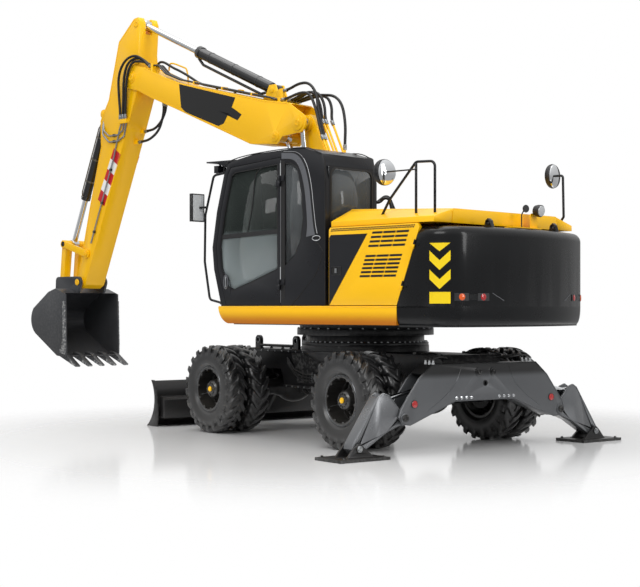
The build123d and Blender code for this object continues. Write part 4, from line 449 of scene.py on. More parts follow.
def glass_material(name, colour, clear, haze_colour, painted_light_colour=None, edge_z=(2.30, 2.40)):
    """Smoked glass: a cloudy tint over a clear share; below edge_z the tint can turn to a paler one,
    painted light that is strongest low down.
    """
    mat = bpy.data.materials.new(name)
    mat.use_nodes = True
    tree = mat.node_tree
    shader = tree.nodes["Principled BSDF"]
    place = add_node(tree, "TexCoord").outputs["Object"]
    haze = add_node(tree, "TexNoise", {"Vector": place, "Scale": 1.7, "Detail": 2.0}).outputs[0]
    rough = add_node(tree, "MapRange", {"Value": haze, 1: 0.3, 2: 0.8, 3: 0.02, 4: 0.08}).outputs[0]
    tree.links.new(rough, shader.inputs["Roughness"])
    tone = mix_colour(tree, haze, linear(colour), linear(haze_colour))
    if painted_light_colour:
        # painted light: below edge_z the pane turns paler, most of all low down
        height = add_node(tree, "SeparateXYZ", {0: place}).outputs[2]
        low = add_node(tree, "MapRange",
                       {"Value": height, 1: edge_z[0], 2: edge_z[1], 3: 1.0, 4: 0.0}).outputs[0]
        painted_light_fade = add_node(tree, "MapRange", {"Value": height, 1: 1.70, 2: 2.30, 3: 1.0, 4: 0.45}).outputs[0]
        tone = mix_colour(tree, math_node(tree, "MULTIPLY", low, painted_light_fade), tone, linear(painted_light_colour))
    tree.links.new(tone, shader.inputs["Base Color"])
    see = tree.nodes.new("ShaderNodeBsdfTransparent")
    see.inputs[0].default_value = (0.75, 0.80, 0.78, 1)
    fresnel = add_node(tree, "Fresnel", {"IOR": 1.5}).outputs[0]
    share = add_node(tree, "MapRange",
                     {"Value": fresnel, 1: 0.0, 2: 1.0, 3: 1.0 - clear, 4: 1.0}).outputs[0]
    mixed = add_node(tree, "MixShader", {0: share, 1: see.outputs[0], 2: shader.outputs[0]})
    tree.links.new(mixed.outputs[0], tree.nodes["Material Output"].inputs["Surface"])
    return mat


SMOKED = glass_material("smoked glass", "#46494B", 0.46, "#707476")
# the door's glass and the screen's glass turn paler low down with painted light
DOOR_GLASS_PAINTED_LIGHT = glass_material("door glass with painted light", "#262A29", 0.50, "#464D4A", painted_light_colour="#C3CFD1")


def seat_tint(tree):
    """Woven seat cloth: two fine crossed waves between two greys."""
    place = add_node(tree, "TexCoord").outputs["Object"]
    across = add_node(tree, "TexWave", {"Vector": place, "Scale": 90.0, "Distortion": 0.6},
                      bands_direction="Y").outputs[1]
    down = add_node(tree, "TexWave", {"Vector": place, "Scale": 90.0, "Distortion": 0.6},
                    bands_direction="Z").outputs[1]
    return mix_colour(tree, math_node(tree, "MULTIPLY", across, down), linear("#222325"), linear("#2E3032"))


SEAT_CLOTH = surface("woven seat cloth", "#2A2B2D", 0.85, dust=0.0, mottle=0.0, relief=0.02,
                     relief_scale=120, tint=seat_tint)

# ---------------------------------------------------------------- finishes of the CAD nodes

def node_finish(name):
    """Material of a CAD node by what it is."""
    if "tyres" in name:
        return RUBBER
    if "rims" in name:
        return RIM_BLACK
    if name == "cab_door_glass":
        return DOOR_GLASS_PAINTED_LIGHT
    if "glass" in name:
        return SMOKED
    if name.endswith(("_rod", "_rods")) and name != "tie_rod":
        return CHROME
    if "barrel" in name:
        return RAM_BLACK
    if "hoses" in name and "rails" not in name:
        return HOSE
    # side skirts: yellow with a painted shade along their lower edge
    if name == "side_skirts":
        return SKIRT_YELLOW_PAINTED_SHADE
    if name in ("engine_hood", "engine_cover_sides", "service_door_left", "service_door_right",
                "lower_boom", "upper_boom", "dipper", "bucket_rocker", "bucket_link"):
        return YELLOW
    if name in ("cab_shell", "cab_door", "fuel_tank_and_toolbox"):
        return CAB_BLACK
    return {"counterweight": BALLAST_BLACK, "bucket": BUCKET_STEEL, "operator_seat": SEAT_CLOTH,
            "engine_block": ENGINE_GREY, "stabiliser_beam": BEAM_BLACK_PAINTED_REFLECTION, "stabiliser_leg_left": LEG_GREY,
            "stabiliser_leg_right": LEG_GREY}.get(name, CHASSIS_BLACK)


# width of the rounded edges by a word in the node's name; panes keep sharp ones
EDGE_WIDTHS = {"chassis": 0.010, "glass": 0.0, "tyres": 0.004, "barrel": 0.003, "rod": 0.002}
EDGE_WIDTH, WELD_REACH = 0.005, 0.00005
for name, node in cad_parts.items():
    node.data.materials.clear()
    node.data.materials.append(node_finish(name))
    node.data.polygons.foreach_set("use_smooth", np.ones(len(node.data.polygons), bool))
    width = next((w for key, w in EDGE_WIDTHS.items() if key in name), EDGE_WIDTH)
    weld = node.modifiers.new("weld", "WELD")
    weld.merge_threshold = WELD_REACH
    if width:
        edge = node.modifiers.new("rounded edges", "BEVEL")
        edge.width = width
        edge.segments = 2
        edge.limit_method = "ANGLE"
        edge.angle_limit = radians(32)
        edge.harden_normals = True

# ---------------------------------------------------------------- studio

scene = bpy.context.scene
scene.view_settings.view_transform = "Standard"

floor_mesh = bpy.data.meshes.new("studio_floor")
floor_mesh.from_pydata([(-70, -70, 0), (70, -70, 0), (70, 70, 0), (-70, 70, 0)], [], [(0, 1, 2, 3)])
floor = bpy.data.objects.new("studio_floor", floor_mesh)
scene.collection.objects.link(floor)
floor_mat = surface("polished pale floor", "#F6F6F6", 0.10, dust=0.0, mottle=0.02, relief=0.0,
                    Specular_IOR_Level=0.5)
ft = floor_mat.node_tree
away = add_node(ft, "VectorMath", {0: add_node(ft, "TexCoord").outputs["Object"]},
                operation="LENGTH").outputs["Value"]
fade = add_node(ft, "MapRange", {"Value": away, 1: 2.9, 2: 6.4, 3: 0.0, 4: 1.0},
                interpolation_type="SMOOTHSTEP")
open_floor = add_node(ft, "MixShader", {0: fade.outputs[0], 1: ft.nodes["Principled BSDF"].outputs[0],
                                        2: ft.nodes.new("ShaderNodeBsdfTransparent").outputs[0]})
ft.links.new(open_floor.outputs[0], ft.nodes["Material Output"].inputs["Surface"])
floor_mesh.materials.append(floor_mat)

world = bpy.data.worlds.new("soft white room")
scene.world = world
world.use_nodes = True
wt = world.node_tree
wt.nodes.clear()
ray = add_node(wt, "LightPath")
seen = math_node(wt, "MAXIMUM", ray.outputs["Is Camera Ray"], ray.outputs["Is Transmission Ray"])
sky = add_node(wt, "SeparateXYZ", {0: add_node(wt, "TexCoord").outputs["Generated"]}).outputs[2]
glow = add_node(wt, "MapRange", {"Value": sky, 1: -0.05, 2: 0.9, 3: 0.42, 4: 1.05}).outputs[0]
strength = add_node(wt, "Mix", {"Factor": seen, 2: glow, 3: 1.0}).outputs[0]
back = add_node(wt, "Background", {"Color": (1, 1, 1, 1), "Strength": strength})
wt.links.new(back.outputs[0], wt.nodes.new("ShaderNodeOutputWorld").inputs[0])


def soft_light(name, place, target, size, power):
    """Rectangular lamp at a place, facing its target."""
    lamp = bpy.data.lights.new(name, "AREA")
    lamp.shape = "RECTANGLE"
    lamp.size, lamp.size_y = size
    lamp.energy = power
    obj = bpy.data.objects.new(name, lamp)
    obj.location = place
    rows = basis(np.asarray(place, float) - np.asarray(target, float))
    obj.matrix_world = Matrix([[*rows[:, i], place[i]] for i in range(3)] + [[0, 0, 0, 1]])
    scene.collection.objects.link(obj)


soft_light("key panel", (-6, 13, 11), (0, 0, 1.5), (9, 6), 900)
soft_light("top panel", (1, 1, 14), (1, 0, 1), (12, 9), 700)
soft_light("rear strip", (-14, -3, 6), (-1, 0, 1.5), (3, 9), 500)

camera = bpy.data.objects.new("camera", bpy.data.cameras.new("camera"))
camera.data.lens = 77.4
camera.data.shift_y = 0.0227
camera.data.clip_end = 300
VIEW = np.array([0.8015, -0.598, 0.0])
right = np.cross(VIEW, (0, 0, 1))
camera.matrix_world = Matrix([[right[i], (0, 0, 1)[i], -VIEW[i], (-12.62, 10.08, 1.50)[i]]
                              for i in range(3)]
                             + [[0, 0, 0, 1]])
scene.collection.objects.link(camera)
scene.camera = camera

# ---------------------------------------------------------------- tyres and wheels

TYRE_R = 0.526
TYRE_Y = (1.1525, 0.8325)          # centres of the outer and inner tyre
AXLES = {"front": 1.45, "rear": -1.15}
LUGS = 21
# across the tyre from its middle: distance, radius, depth of the grooves there
TYRE_SECTION = [(0.0, 0.5255, 0.022), (0.012, 0.5255, 0.024), (0.045, 0.525, 0.029), (0.080, 0.5235, 0.032),
                (0.100, 0.520, 0.038), (0.116, 0.512, 0.044), (0.1245, 0.500, 0.045),
                (0.1290, 0.484, 0.038),
                (0.1315, 0.468, 0.027), (0.1330, 0.456, 0.015), (0.1345, 0.448, 0.006),
                (0.1345, 0.440, 0.0),
                (0.1330, 0.436, 0.0), (0.1352, 0.410, 0.0), (0.1358, 0.385, 0.0), (0.1340, 0.350, 0.0),
                (0.1275, 0.322, 0.0), (0.1262, 0.318, 0.0), (0.1258, 0.312, 0.0), (0.1180, 0.298, 0.0),
                (0.105, 0.288, 0.0), (0.0985, 0.2775, 0.0), (0.086, 0.268, 0.0), (0.086, 0.2560, 0.0)]
# through one lug and one groove: share of the pitch, height of the lug there
LUG_STEPS = [(0.00, 0.0), (0.10, 0.0), (0.165, 0.10), (0.205, 0.93), (0.235, 1.0), (0.42, 1.0), (0.60, 1.0),
             (0.63, 0.93), (0.67, 0.10), (0.735, 0.0), (0.86, 0.0)]


def tyre(centre_y, axle_x, lean):
    """Lugged tyre: radius(y, u) = r(y) - g(y) * (1 - lug(u)), at the angle u + lean * |y| + half(y);
    between the lugs the shoulders are also tucked in by up to 17 mm."""
    section = np.array(TYRE_SECTION)
    y = np.concatenate([-section[::-1, 0], section[1:, 0]])
    r = np.concatenate([section[::-1, 1], section[1:, 1]])
    g = np.concatenate([section[::-1, 2], section[1:, 2]])
    step = np.array(LUG_STEPS)
    u = ((np.arange(LUGS)[:, None] + step[None, :, 0]) * tau / LUGS).ravel()
    lug = np.tile(step[:, 1], LUGS)
    spread = np.clip(np.abs(y), 0, 0.121)
    half = np.clip((y + 0.012) / 0.024, 0, 1) * (pi / LUGS)
    angle = u[None, :] + (lean * (spread - 0.02 * np.sin(spread * 40)) + half)[:, None]
    radius = r[:, None] - g[:, None] * (1 - lug[None, :])
    tuck = np.interp(r, (0.425, 0.445, 0.500, 0.521),
                     (0.0, 0.013, 0.017, 0.0)) * (np.abs(y) > 0.11) * np.sign(y)
    across = centre_y + y[:, None] - tuck[:, None] * (1 - lug[None, :])
    verts = np.stack([axle_x + radius * np.cos(angle), across,
                      TYRE_R + radius * np.sin(angle)], -1)
    return verts.reshape(-1, 3), grid_faces(len(y), len(u), wrap_columns=True)


def wheel_ring(profile, places_y, axle_x, hand, steps=72):
    """Lathe about an axle line; the profile's heights run outwards from the vehicle's middle."""
    return join_parts(*[lathe(profile, (axle_x, hand * y, TYRE_R), (0, hand, 0), steps) for y in places_y])


for end, axle_x in AXLES.items():
    for which, hand in (("left", 1), ("right", -1)):
        body = f"{end}_{which}_wheels"
        treads = join_parts(*[tyre(hand * y, axle_x, 1.6 * (-1 if i else 1)) for i, y in enumerate(TYRE_Y)])
        piece = new_piece(f"{end}_{which}_lugged_tyres", *treads, RUBBER, body, split=42,
                          slot="tyre_rubber")
        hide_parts(f"{end}_{which}_tyres")
        lips = wheel_ring([(0.2755, 0.1005), (0.2782, 0.098), (0.2782, 0.0905), (0.2755, 0.0885)],
                          TYRE_Y, axle_x, hand)
        locks = wheel_ring([(0.262, 0.1002), (0.266, 0.1035), (0.2705, 0.1035), (0.2735, 0.1002)],
                           TYRE_Y[:1], axle_x, hand)
        new_piece(f"{end}_{which}_rim_lips", *join_parts(lips, locks), LIP_GREY, body, slot="rim_black")
        hub_y = hand * 1.226
        cap = lathe([(0.031, 0.0), (0.031, 0.010), (0.027, 0.015), (0.016, 0.018), (0.001, 0.019)],
                    (axle_x, hub_y + hand * 0.004, TYRE_R), (0, hand, 0), 28)
        new_piece(f"{end}_{which}_hub_cap", *cap, YELLOW, body, slot="yellow_paint")
        turn = np.arange(12) * tau / 12
        around = np.stack([np.cos(turn), np.zeros(12), np.sin(turn)], -1)
        hub = np.array([axle_x, 0, TYRE_R])
        bolts = copies(hex_bolt(0.0085, 0.010), hub + around * 0.070 + [0, hub_y, 0], [(0, hand, 0)])
        turn = np.arange(10) * tau / 10 + 0.15
        ring = np.stack([np.cos(turn), np.zeros(10), np.sin(turn)], -1)
        nuts = copies(hex_bolt(0.016, 0.026), hub + ring * 0.1425 + [0, hand * 1.0015, 0], [(0, hand, 0)])
        new_piece(f"{end}_{which}_wheel_nuts", *join_parts(bolts, nuts), DARK_BOLT, body, split=25)
        clamps = copies(slab([(-0.016, -0.012), (0.016, -0.012), (0.020, 0.012), (-0.020, 0.012)], 0.014,
                             (0, 0, 0), (1, 0, 0), (0, 1, 0)),
                        hub + ring * 0.2385 + [0, hand * 1.236, 0], [(0, hand, 0)])
        new_piece(f"{end}_{which}_rim_cleats", *clamps, RIM_BLACK, body, split=30)
        valve = tube([(axle_x + 0.19, hand * 1.05, TYRE_R - 0.05),
                      (axle_x + 0.20, hand * 1.15, TYRE_R - 0.06),
                      (axle_x + 0.222, hand * 1.215, TYRE_R - 0.075)], 0.0045, 8)
        new_piece(f"{end}_{which}_valve_stem", *valve, ZINC, body)

# ---------------------------------------------------------------- drawing on the upper structure

def upper_piece(name, part, material, body="upper_structure", **how):
    """Piece drawn facing +X, turned with the upper structure."""
    return new_piece(name, turned(part[0]), part[1], material, body, **how)


def upper_pair(name, part, material, bodies=("upper_structure", "upper_structure"), **how):
    """A piece drawn on the left side, and its like on the right."""
    upper_piece(name + "_left", part, material, bodies[0], **how)
    upper_piece(name + "_right", mirrored(part), material, bodies[1], **how)


def wall_sheet(outline, y, thickness=0.0012):
    """Flat sheet standing out of a left wall; the outline's points are (forward, up)."""
    verts, faces = slab(outline, -thickness, (0, y, 0), (1, 0, 0), (0, 0, 1))
    area = sum(a[0] * b[1] - b[0] * a[1] for a, b in zip(outline, list(outline[1:]) + [outline[0]]))
    return verts, faces if area < 0 else faces[:, ::-1]


def on_wall(points, y):
    """Points given as (forward, up), standing at y."""
    return [(x, y, z) for x, z in points]


def wall_line(points, y, radius=0.003, sides=6):
    """Bead along points (forward, up) on a wall."""
    return tube(on_wall(points, y), radius, sides)


def arc_through(a, b, c, steps=24):
    """Points of the circle's arc from a through b to c."""
    (ax, ay), (bx, by), (cx, cy) = a, b, c
    d = 2 * (ax * (by - cy) + bx * (cy - ay) + cx * (ay - by))
    a2, b2, c2 = ax * ax + ay * ay, bx * bx + by * by, cx * cx + cy * cy
    ux = (a2 * (by - cy) + b2 * (cy - ay) + c2 * (ay - by)) / d
    uy = (a2 * (cx - bx) + b2 * (ax - cx) + c2 * (bx - ax)) / d
    start, mid, end = (np.arctan2(p[1] - uy, p[0] - ux) for p in (a, b, c))
    mid = start + (mid - start + pi) % tau - pi
    end = mid + (end - mid + pi) % tau - pi
    turn = np.linspace(start, end, steps)
    radius = np.hypot(ax - ux, ay - uy)
    return np.stack([ux + radius * np.cos(turn), uy + radius * np.sin(turn)], -1)


def tail_plan(inset=0.0):
    """Plan of the counterweight from its left seam round to its right seam, and the run to each point."""
    w = 1.25 - inset
    left = arc_through((-1.99, w), (-2.18 + 0.7 * inset, 1.17 - 0.7 * inset),
                       (-2.29 + inset, 1.0 - 0.4 * inset))
    rear = arc_through((-2.29 + inset, 1.0 - 0.4 * inset), (-2.45 + inset, 0.0),
                       (-2.29 + inset, 0.4 * inset - 1.0), 60)
    points = np.concatenate([[(-1.563, w)], left, rear[1:], left[::-1][1:] * [1, -1], [(-1.563, -w)]])
    return points, np.concatenate([[0], np.cumsum(np.hypot(*np.diff(points, axis=0).T))])


def on_tail(run_at, height, out=0.0015, inset=0.0):
    """Points on the counterweight's skin at a run round its plan and a height, moved outwards."""
    points, run = tail_plan(inset)

    def at(r):
        return np.stack([np.interp(r, run, points[:, 0]), np.interp(r, run, points[:, 1])], -1)

    along_skin = at(run_at + 0.01) - at(run_at - 0.01)
    along_skin /= np.linalg.norm(along_skin, axis=1, keepdims=True)
    outward = np.stack([-along_skin[:, 1], along_skin[:, 0]], -1)
    place = at(run_at)
    outward *= np.sign((outward * (place - [-1.5, 0])).sum(1, keepdims=True))
    place = place + outward * out
    return np.column_stack([place, np.broadcast_to(height, run_at.shape)])


def skin_band(low, high, rows=3):
    """Surface between two curves of as many points; it faces left of the direction from low to high."""
    mix = np.linspace(0, 1, rows)[:, None, None]
    return (low * (1 - mix) + high * mix).reshape(-1, 3), grid_faces(rows, len(low))[:, ::-1]


# ---------------------------------------------------------------- sheets and signs

across_tail = np.linspace(0.435, 0.655, 17)
peak = 1 - np.abs(np.linspace(-1, 1, 17))
chevrons = [skin_band(on_tail(across_tail, 2.155 - 0.085 * peak), on_tail(across_tail, 2.155 + 0 * peak))]
for tip in (1.882, 1.691):
    low = tip + 0.10 * (1 - peak)
    chevrons.append(skin_band(on_tail(across_tail, low), on_tail(across_tail, low + 0.098)))
upper_pair("tail_chevrons", join_parts(*chevrons), DECAL_YELLOW)
plate = skin_band(on_tail(across_tail, 1.545 + 0 * peak), on_tail(across_tail, 1.662 + 0 * peak))
upper_pair("blank_tail_plate", plate, DECAL_YELLOW)
edging = []
for z in (1.666, 2.165):
    edging.append(tube(on_tail(across_tail, z + 0 * peak, 0.002), 0.003, 6))
upper_pair("tail_plate_edging", join_parts(*edging), BALLAST_BLACK)

# outline of the plain black panel on the upper boom's sides
BOOM_PANEL = [(3.132, 4.457), (2.035, 4.164), (2.102, 4.046), (2.028, 4.005), (1.919, 3.938),
              (1.995, 3.871),
              (2.095, 3.921), (2.162, 3.977), (2.254, 3.854), (2.356, 3.832), (3.006, 4.074),
              (3.092, 4.146)]
upper_pair("boom_black_panel", wall_sheet(BOOM_PANEL, 0.2002), DECAL_BLACK, ("upper_boom", "upper_boom"),
           split=30)

STRIPE_LOW, STRIPE_HIGH = np.array((4.87, 2.95)), np.array((4.50, 3.65))
for tone, steps, material in (("red", (0, 2, 4), RED_SHEET), ("white", (1, 3), WHITE_SHEET)):
    blocks = []
    for k in steps:
        a = STRIPE_LOW + (STRIPE_HIGH - STRIPE_LOW) * (k / 5)
        b = STRIPE_LOW + (STRIPE_HIGH - STRIPE_LOW) * ((k + 1) / 5)
        blocks.append(wall_sheet([a - (0.075, 0.02), a + (0.075, 0.085), b + (0.075, 0.085),
                                  b - (0.075, 0.02)], 0.1652))
    upper_pair(f"dipper_stripes_{tone}", join_parts(*blocks), material, ("dipper", "dipper"), split=30)

DOORS = ("service_door_left", "service_door_right")
front_panel = [(-0.6035, 1.5315), (-0.6035, 2.255), (-0.628, 2.282), (-1.155, 2.282)]
upper_pair("door_black_panel", wall_sheet(front_panel, 1.2502), CAB_BLACK, DOORS, split=30)
upper_pair("door_panel_edge",
           wall_line([(-0.6035, 1.5315), (-1.155, 2.282), (-0.628, 2.282)], 1.2504, 0.0028), SEAL, DOORS)

x = np.arange(-1.80, -0.64, 0.021)
holes = np.concatenate([np.stack([x, np.full_like(x, 1.2502), np.full_like(x, 2.346)], -1),
                        np.stack([x + 0.0105, np.full_like(x, 1.2502), np.full_like(x, 2.328)], -1)])
# the punched holes are dark discs on the panel: painted shade where the holes are
dot = lathe([(0.0088, 0.0), (0.0084, 0.0006), (0.0004, 0.0007)], steps=8)
upper_pair("door_punched_holes", copies(dot, holes, [(0, 1, 0)]), DARK_SCREEN_AND_SHADE, DOORS)

VENTS = ((1.835, 6, 0.042), (2.150, 4, 0.046))      # height of the lowest row, rows, pitch


def shift(z):
    """How far a vent's slots move back with their height, along the door's sloping panel."""
    return -0.39 * (z - 1.835)


backs = []
for low, rows, pitch in VENTS:
    z0, z1 = low - 0.015, low + pitch * (rows - 1) + 0.015
    backs.append(wall_sheet([(-1.54 + shift(z0), z0), (-1.07 + shift(z0), z0), (-1.07 + shift(z1), z1),
                             (-1.54 + shift(z1), z1)], 1.2105, 0.003))
upper_pair("vent_screens", join_parts(*backs), DARK_SCREEN_AND_SHADE, DOORS, split=30)
# the vent's slots are dark sheets on the panel: painted shade in the openings
louvres = [wall_sheet([(a + shift(z), z - 0.0115), (b + shift(z), z - 0.0115),
                       (b + shift(z + 0.023), z + 0.0115), (a + shift(z + 0.023), z + 0.0115)],
                      1.2502, 0.0009)
           for low, rows, pitch in VENTS for z in low + pitch * np.arange(rows)
           for a, b in ((-1.548, -1.379), (-1.368, -1.200), (-1.188, -1.045))]
upper_pair("vent_slot_painted_shade", join_parts(*louvres), DARK_SCREEN_AND_SHADE, DOORS, split=30)

latch = [(-0.780, 1.855), (-0.780, 1.940), (-0.640, 1.940), (-0.640, 1.855)]
rim = wall_line(latch + latch[:1], 1.2520, 0.0050)
pull = wall_sheet([(-0.720, 1.875), (-0.720, 1.925), (-0.690, 1.925), (-0.690, 1.875)], 1.2525, 0.006)
upper_pair("door_latch_cup", wall_sheet(latch, 1.2506, 0.0012), DARK_SCREEN_AND_SHADE, DOORS)
upper_pair("door_latch_rim", rim, PLASTIC, DOORS)
upper_pair("door_latch_pull", pull, ZINC, DOORS, split=30)

# ---------------------------------------------------------------- counterweight

def tail_piece(name, run_from, run_to, low, high, out, material, **how):
    """Shallow block on the counterweight's skin between two runs and two heights."""
    run = np.linspace(run_from, run_to, 15)
    rings = [on_tail(run, low, 0.0005), on_tail(run, low + 0.004, out),
             on_tail(run, high - 0.004, out), on_tail(run, high, 0.0005)]
    verts = np.concatenate(rings)
    upper_piece(name, (verts, grid_faces(4, 15)[:, ::-1]), material, **how)


points, run = tail_plan()


def run_of_y(y):
    """Run round the counterweight's plan at which it stands at y."""
    return float(np.interp(-y, -points[:, 1], run))


LAMP_DOME = [(0.034, 0.0), (0.034, 0.003), (0.028, 0.006), (0.014, 0.008), (0.001, 0.0085)]
for place, y_in, y_out in (("right_pair_inner", 0.75, 0.88), ("right_pair_outer", 0.995, 1.125)):
    for hand in (1, -1):
        ends = sorted((run_of_y(hand * y_in), run_of_y(hand * y_out)))
        label = place + ("_l" if hand > 0 else "_r")
        tail_piece(f"tail_lamp_rim_{label}", ends[0] - 0.006, ends[1] + 0.006, 1.573, 1.650, 0.004, PLASTIC)
        spot, ahead = (on_tail(np.array([sum(ends) / 2]), 1.6115, out)[0] for out in (0.003, 1.003))
        upper_piece(f"tail_lamp_{label}", lathe(LAMP_DOME, spot, ahead - spot, 28),
                    AMBER_LENS if place.endswith("outer") else RED_LENS)
for hand in (1, -1):
    ends = sorted((run_of_y(hand * 0.890), run_of_y(hand * 0.985)))
    tail_piece("tail_lamp_bridge_" + ("l" if hand > 0 else "r"), ends[0], ends[1], 1.583, 1.640, 0.005,
               BALLAST_BLACK)
sweep = np.linspace(0, pi / 2, 9)
rows = [(0.100, 1.3205)] + [(0.046 * (1 - np.sin(a)), 1.3205 + 0.1795 * (1 - np.cos(a)))
                            for a in sweep] + [(0.0, 1.517), (0.004, 1.521)]
plan = [np.insert(tail_plan(inset)[0], 2, height, axis=1) for inset, height in rows]
upper_piece("counterweight_under_band",
            (np.concatenate(plan), grid_faces(len(plan), len(plan[0]))[:, ::-1]), BALLAST_BLACK, split=40)
# grey bead along the seam: a painted highlight on a lip of the black casting
upper_piece("counterweight_seam_bead_painted_highlight", tube(np.insert(tail_plan(0.0045)[0], 2, 1.5225, axis=1), 0.0035, 6),
            ARCH_GREY)
for label, hand in (("left", 1), ("right", -1)):
    upper_piece(f"skirt_bead_{label}",
                tube([(1.10, hand * 1.2505, 1.508), (-1.555, hand * 1.2505, 1.508)], 0.0045, 8), YELLOW)
# grey lines along the lamps' sloping edges: painted highlights on the black casting
slants = [on_tail(np.linspace(run_of_y(hand * 0.70), run_of_y(hand * 0.545), 8),
                  np.linspace(1.652, 1.575, 8), 0.0005) for hand in (1, -1)]
upper_piece("tail_lamp_slant_highlights", join_parts(*[tube(line, 0.003, 6) for line in slants]), ARCH_GREY)

upper_piece("lifting_eye_washers", copies(lathe([(0.030, 0), (0.030, 0.004), (0.019, 0.004)], steps=24),
                                          [(-2.24, y, 2.385) for y in (0.606, 0.556, -0.556, -0.606)],
                                          [(0, 1, 0), (0, -1, 0), (0, 1, 0), (0, -1, 0)]), DARK_BOLT)

# yellow bracket on the top of the counterweight, with its fin, its lamp, and a disc on a stalk
bracket = [(-2.20, 0.10), (-2.20, -0.42), (-2.08, -0.42), (-2.08, 0.10)]
upper_piece("rear_lamp_bracket", slab(bracket, 0.010, (0, 0, 2.352), (1, 0, 0), (0, 1, 0)), YELLOW,
            split=30)
upper_piece("rear_lamp_bracket_fin",
            slab([(-0.42, 2.35), (-0.30, 2.35), (-0.30, 2.52), (-0.36, 2.53), (-0.42, 2.47)], 0.008,
                                          (-2.14, 0, 0), (0, 1, 0), (0, 0, 1)), YELLOW, split=30)
upper_piece("rear_work_lamp",
            lathe([(0.012, -0.05), (0.055, -0.045), (0.066, -0.01), (0.066, 0.030), (0.060, 0.034)],
                                    (-2.20, -0.36, 2.55), (-1, 0, -0.15), 32), PLASTIC)
upper_piece("rear_work_lens", lathe([(0.060, 0.030), (0.056, 0.040), (0.030, 0.046), (0.002, 0.048)],
                                    (-2.20, -0.36, 2.55), (-1, 0, -0.15), 32), WHITE_LENS)
upper_piece("rear_camera_disc",
            lathe([(0.002, -0.006), (0.040, -0.006), (0.042, 0.0), (0.040, 0.006), (0.002, 0.006)],
                                      (-2.215, -0.10, 2.56), (-1, 0.3, 0), 24), PLASTIC)
upper_piece("rear_camera_stalk",
            tube([(-2.16, -0.10, 2.36), (-2.16, -0.10, 2.50), (-2.20, -0.10, 2.56)], 0.007, 8), PLASTIC)

# locks of the hood
HOOD_LOCK = [(0.024, 0), (0.024, 0.008), (0.018, 0.011), (0.002, 0.011)]
upper_piece("hood_lock",
            join_parts(*[lathe(HOOD_LOCK, (-1.75, y, 2.535), (0, 0, 1), 24) for y in (0.62, -0.62)]),
            DARK_BOLT)

# ---------------------------------------------------------------- cab

DOOR_PANE = [(0.215, 1.930), (0.620, 1.800), (0.960, 1.700), (1.060, 1.740), (1.165, 1.960), (1.190, 2.210),
             (1.115, 2.600), (0.985, 3.040), (0.930, 3.075), (0.215, 3.120)]
SIDE_PANE = [(0.120, 3.120), (0.020, 3.120), (-0.090, 3.060), (-0.160, 2.800), (-0.190, 2.489),
             (-0.150, 2.250),
             (-0.040, 2.070), (0.120, 1.960)]
RIGHT_PANE = [(-0.380, 3.080), (-0.380, 2.150), (1.060, 2.000), (1.200, 2.180), (1.130, 2.600),
              (1.010, 3.060)]


def closed(points, per_run=6):
    """Points along a closed outline, with per_run of them on each straight run."""
    p = np.array(list(points) + [points[0]], float)
    mix = np.linspace(0, 1, per_run, endpoint=False)[None, :, None]
    return np.concatenate([(p[:-1, None] * (1 - mix) + p[1:, None] * mix).reshape(-1, p.shape[1]), p[:1]])


def seal(outline, y, width=0.016, depth=0.010):
    """Flat rubber seal round a window: a band between the outline and the same moved inwards."""
    p = np.array(outline)
    mid = (p.max(0) + p.min(0)) / 2
    half = (p.max(0) - p.min(0)) / 2
    inner = mid + (p - mid) * (1 - width / half)
    outer = mid + (p - mid) * (1 + 0.004 / half)
    rings = [np.insert(closed(ring), 1, level, axis=1) for ring, level in
             ((outer, y), (outer, y + depth * 0.6), (inner, y + depth), (inner, y - 0.012))]
    n = len(rings[0])
    faces = grid_faces(4, n)
    return np.concatenate(rings), faces


upper_piece("door_pane_seal", seal(DOOR_PANE, 1.2095), SEAL, "cab_door")
upper_piece("side_pane_seal", seal(SIDE_PANE, 1.2095), SEAL)
right_seal = mirrored(seal(RIGHT_PANE, 1.2095))
upper_piece("right_pane_seal", (right_seal[0] + [0, 1.605, 0], right_seal[1]), SEAL)

# door: dark bar across the middle, edge of the sliding pane, lock plate and oval handle
bar = [(1.185, 2.300), (1.190, 2.352), (0.215, 2.385), (0.215, 2.338)]
upper_piece("door_middle_bar", wall_sheet(bar, 1.2062, 0.010), PLASTIC, "cab_door", split=30)
slide = smooth_path(on_wall([(0.395, 3.110), (0.530, 3.075), (0.600, 2.980), (0.642, 2.70), (0.690, 2.50),
                             (0.726, 2.372)], 1.208), 8)
upper_piece("sliding_pane_edge", tube(slide, 0.006, 6), SEAL, "cab_door")
lock_edge = smooth_path(on_wall([(1.185, 1.885), (1.110, 1.900), (1.030, 1.830), (1.005, 1.730),
                                 (1.020, 1.640)], 1.2205), 8)
upper_piece("lock_plate_edge", tube(lock_edge, 0.0035, 6), CAB_BLACK, "cab_door")
turn = np.linspace(0, tau, 33)
oval = np.stack([1.084 + 0.033 * np.cos(turn), np.full(33, 1.2215), 1.803 + 0.078 * np.sin(turn)], -1)
upper_piece("door_handle_rim", tube(oval, 0.008, 8, closed_ends=False), ARCH_GREY, "cab_door")
upper_piece("door_handle_cup", wall_sheet([(a, c) for a, b, c in oval[:-1]], 1.2202, 0.0015), DARK_SCREEN_AND_SHADE,
            "cab_door")
upper_piece("door_handle_pull",
            tube([(1.084, 1.2225, 1.745), (1.078, 1.2290, 1.770), (1.078, 1.2300, 1.835),
                  (1.084, 1.2225, 1.862)],
                                     0.009, 10), ZINC, "cab_door")
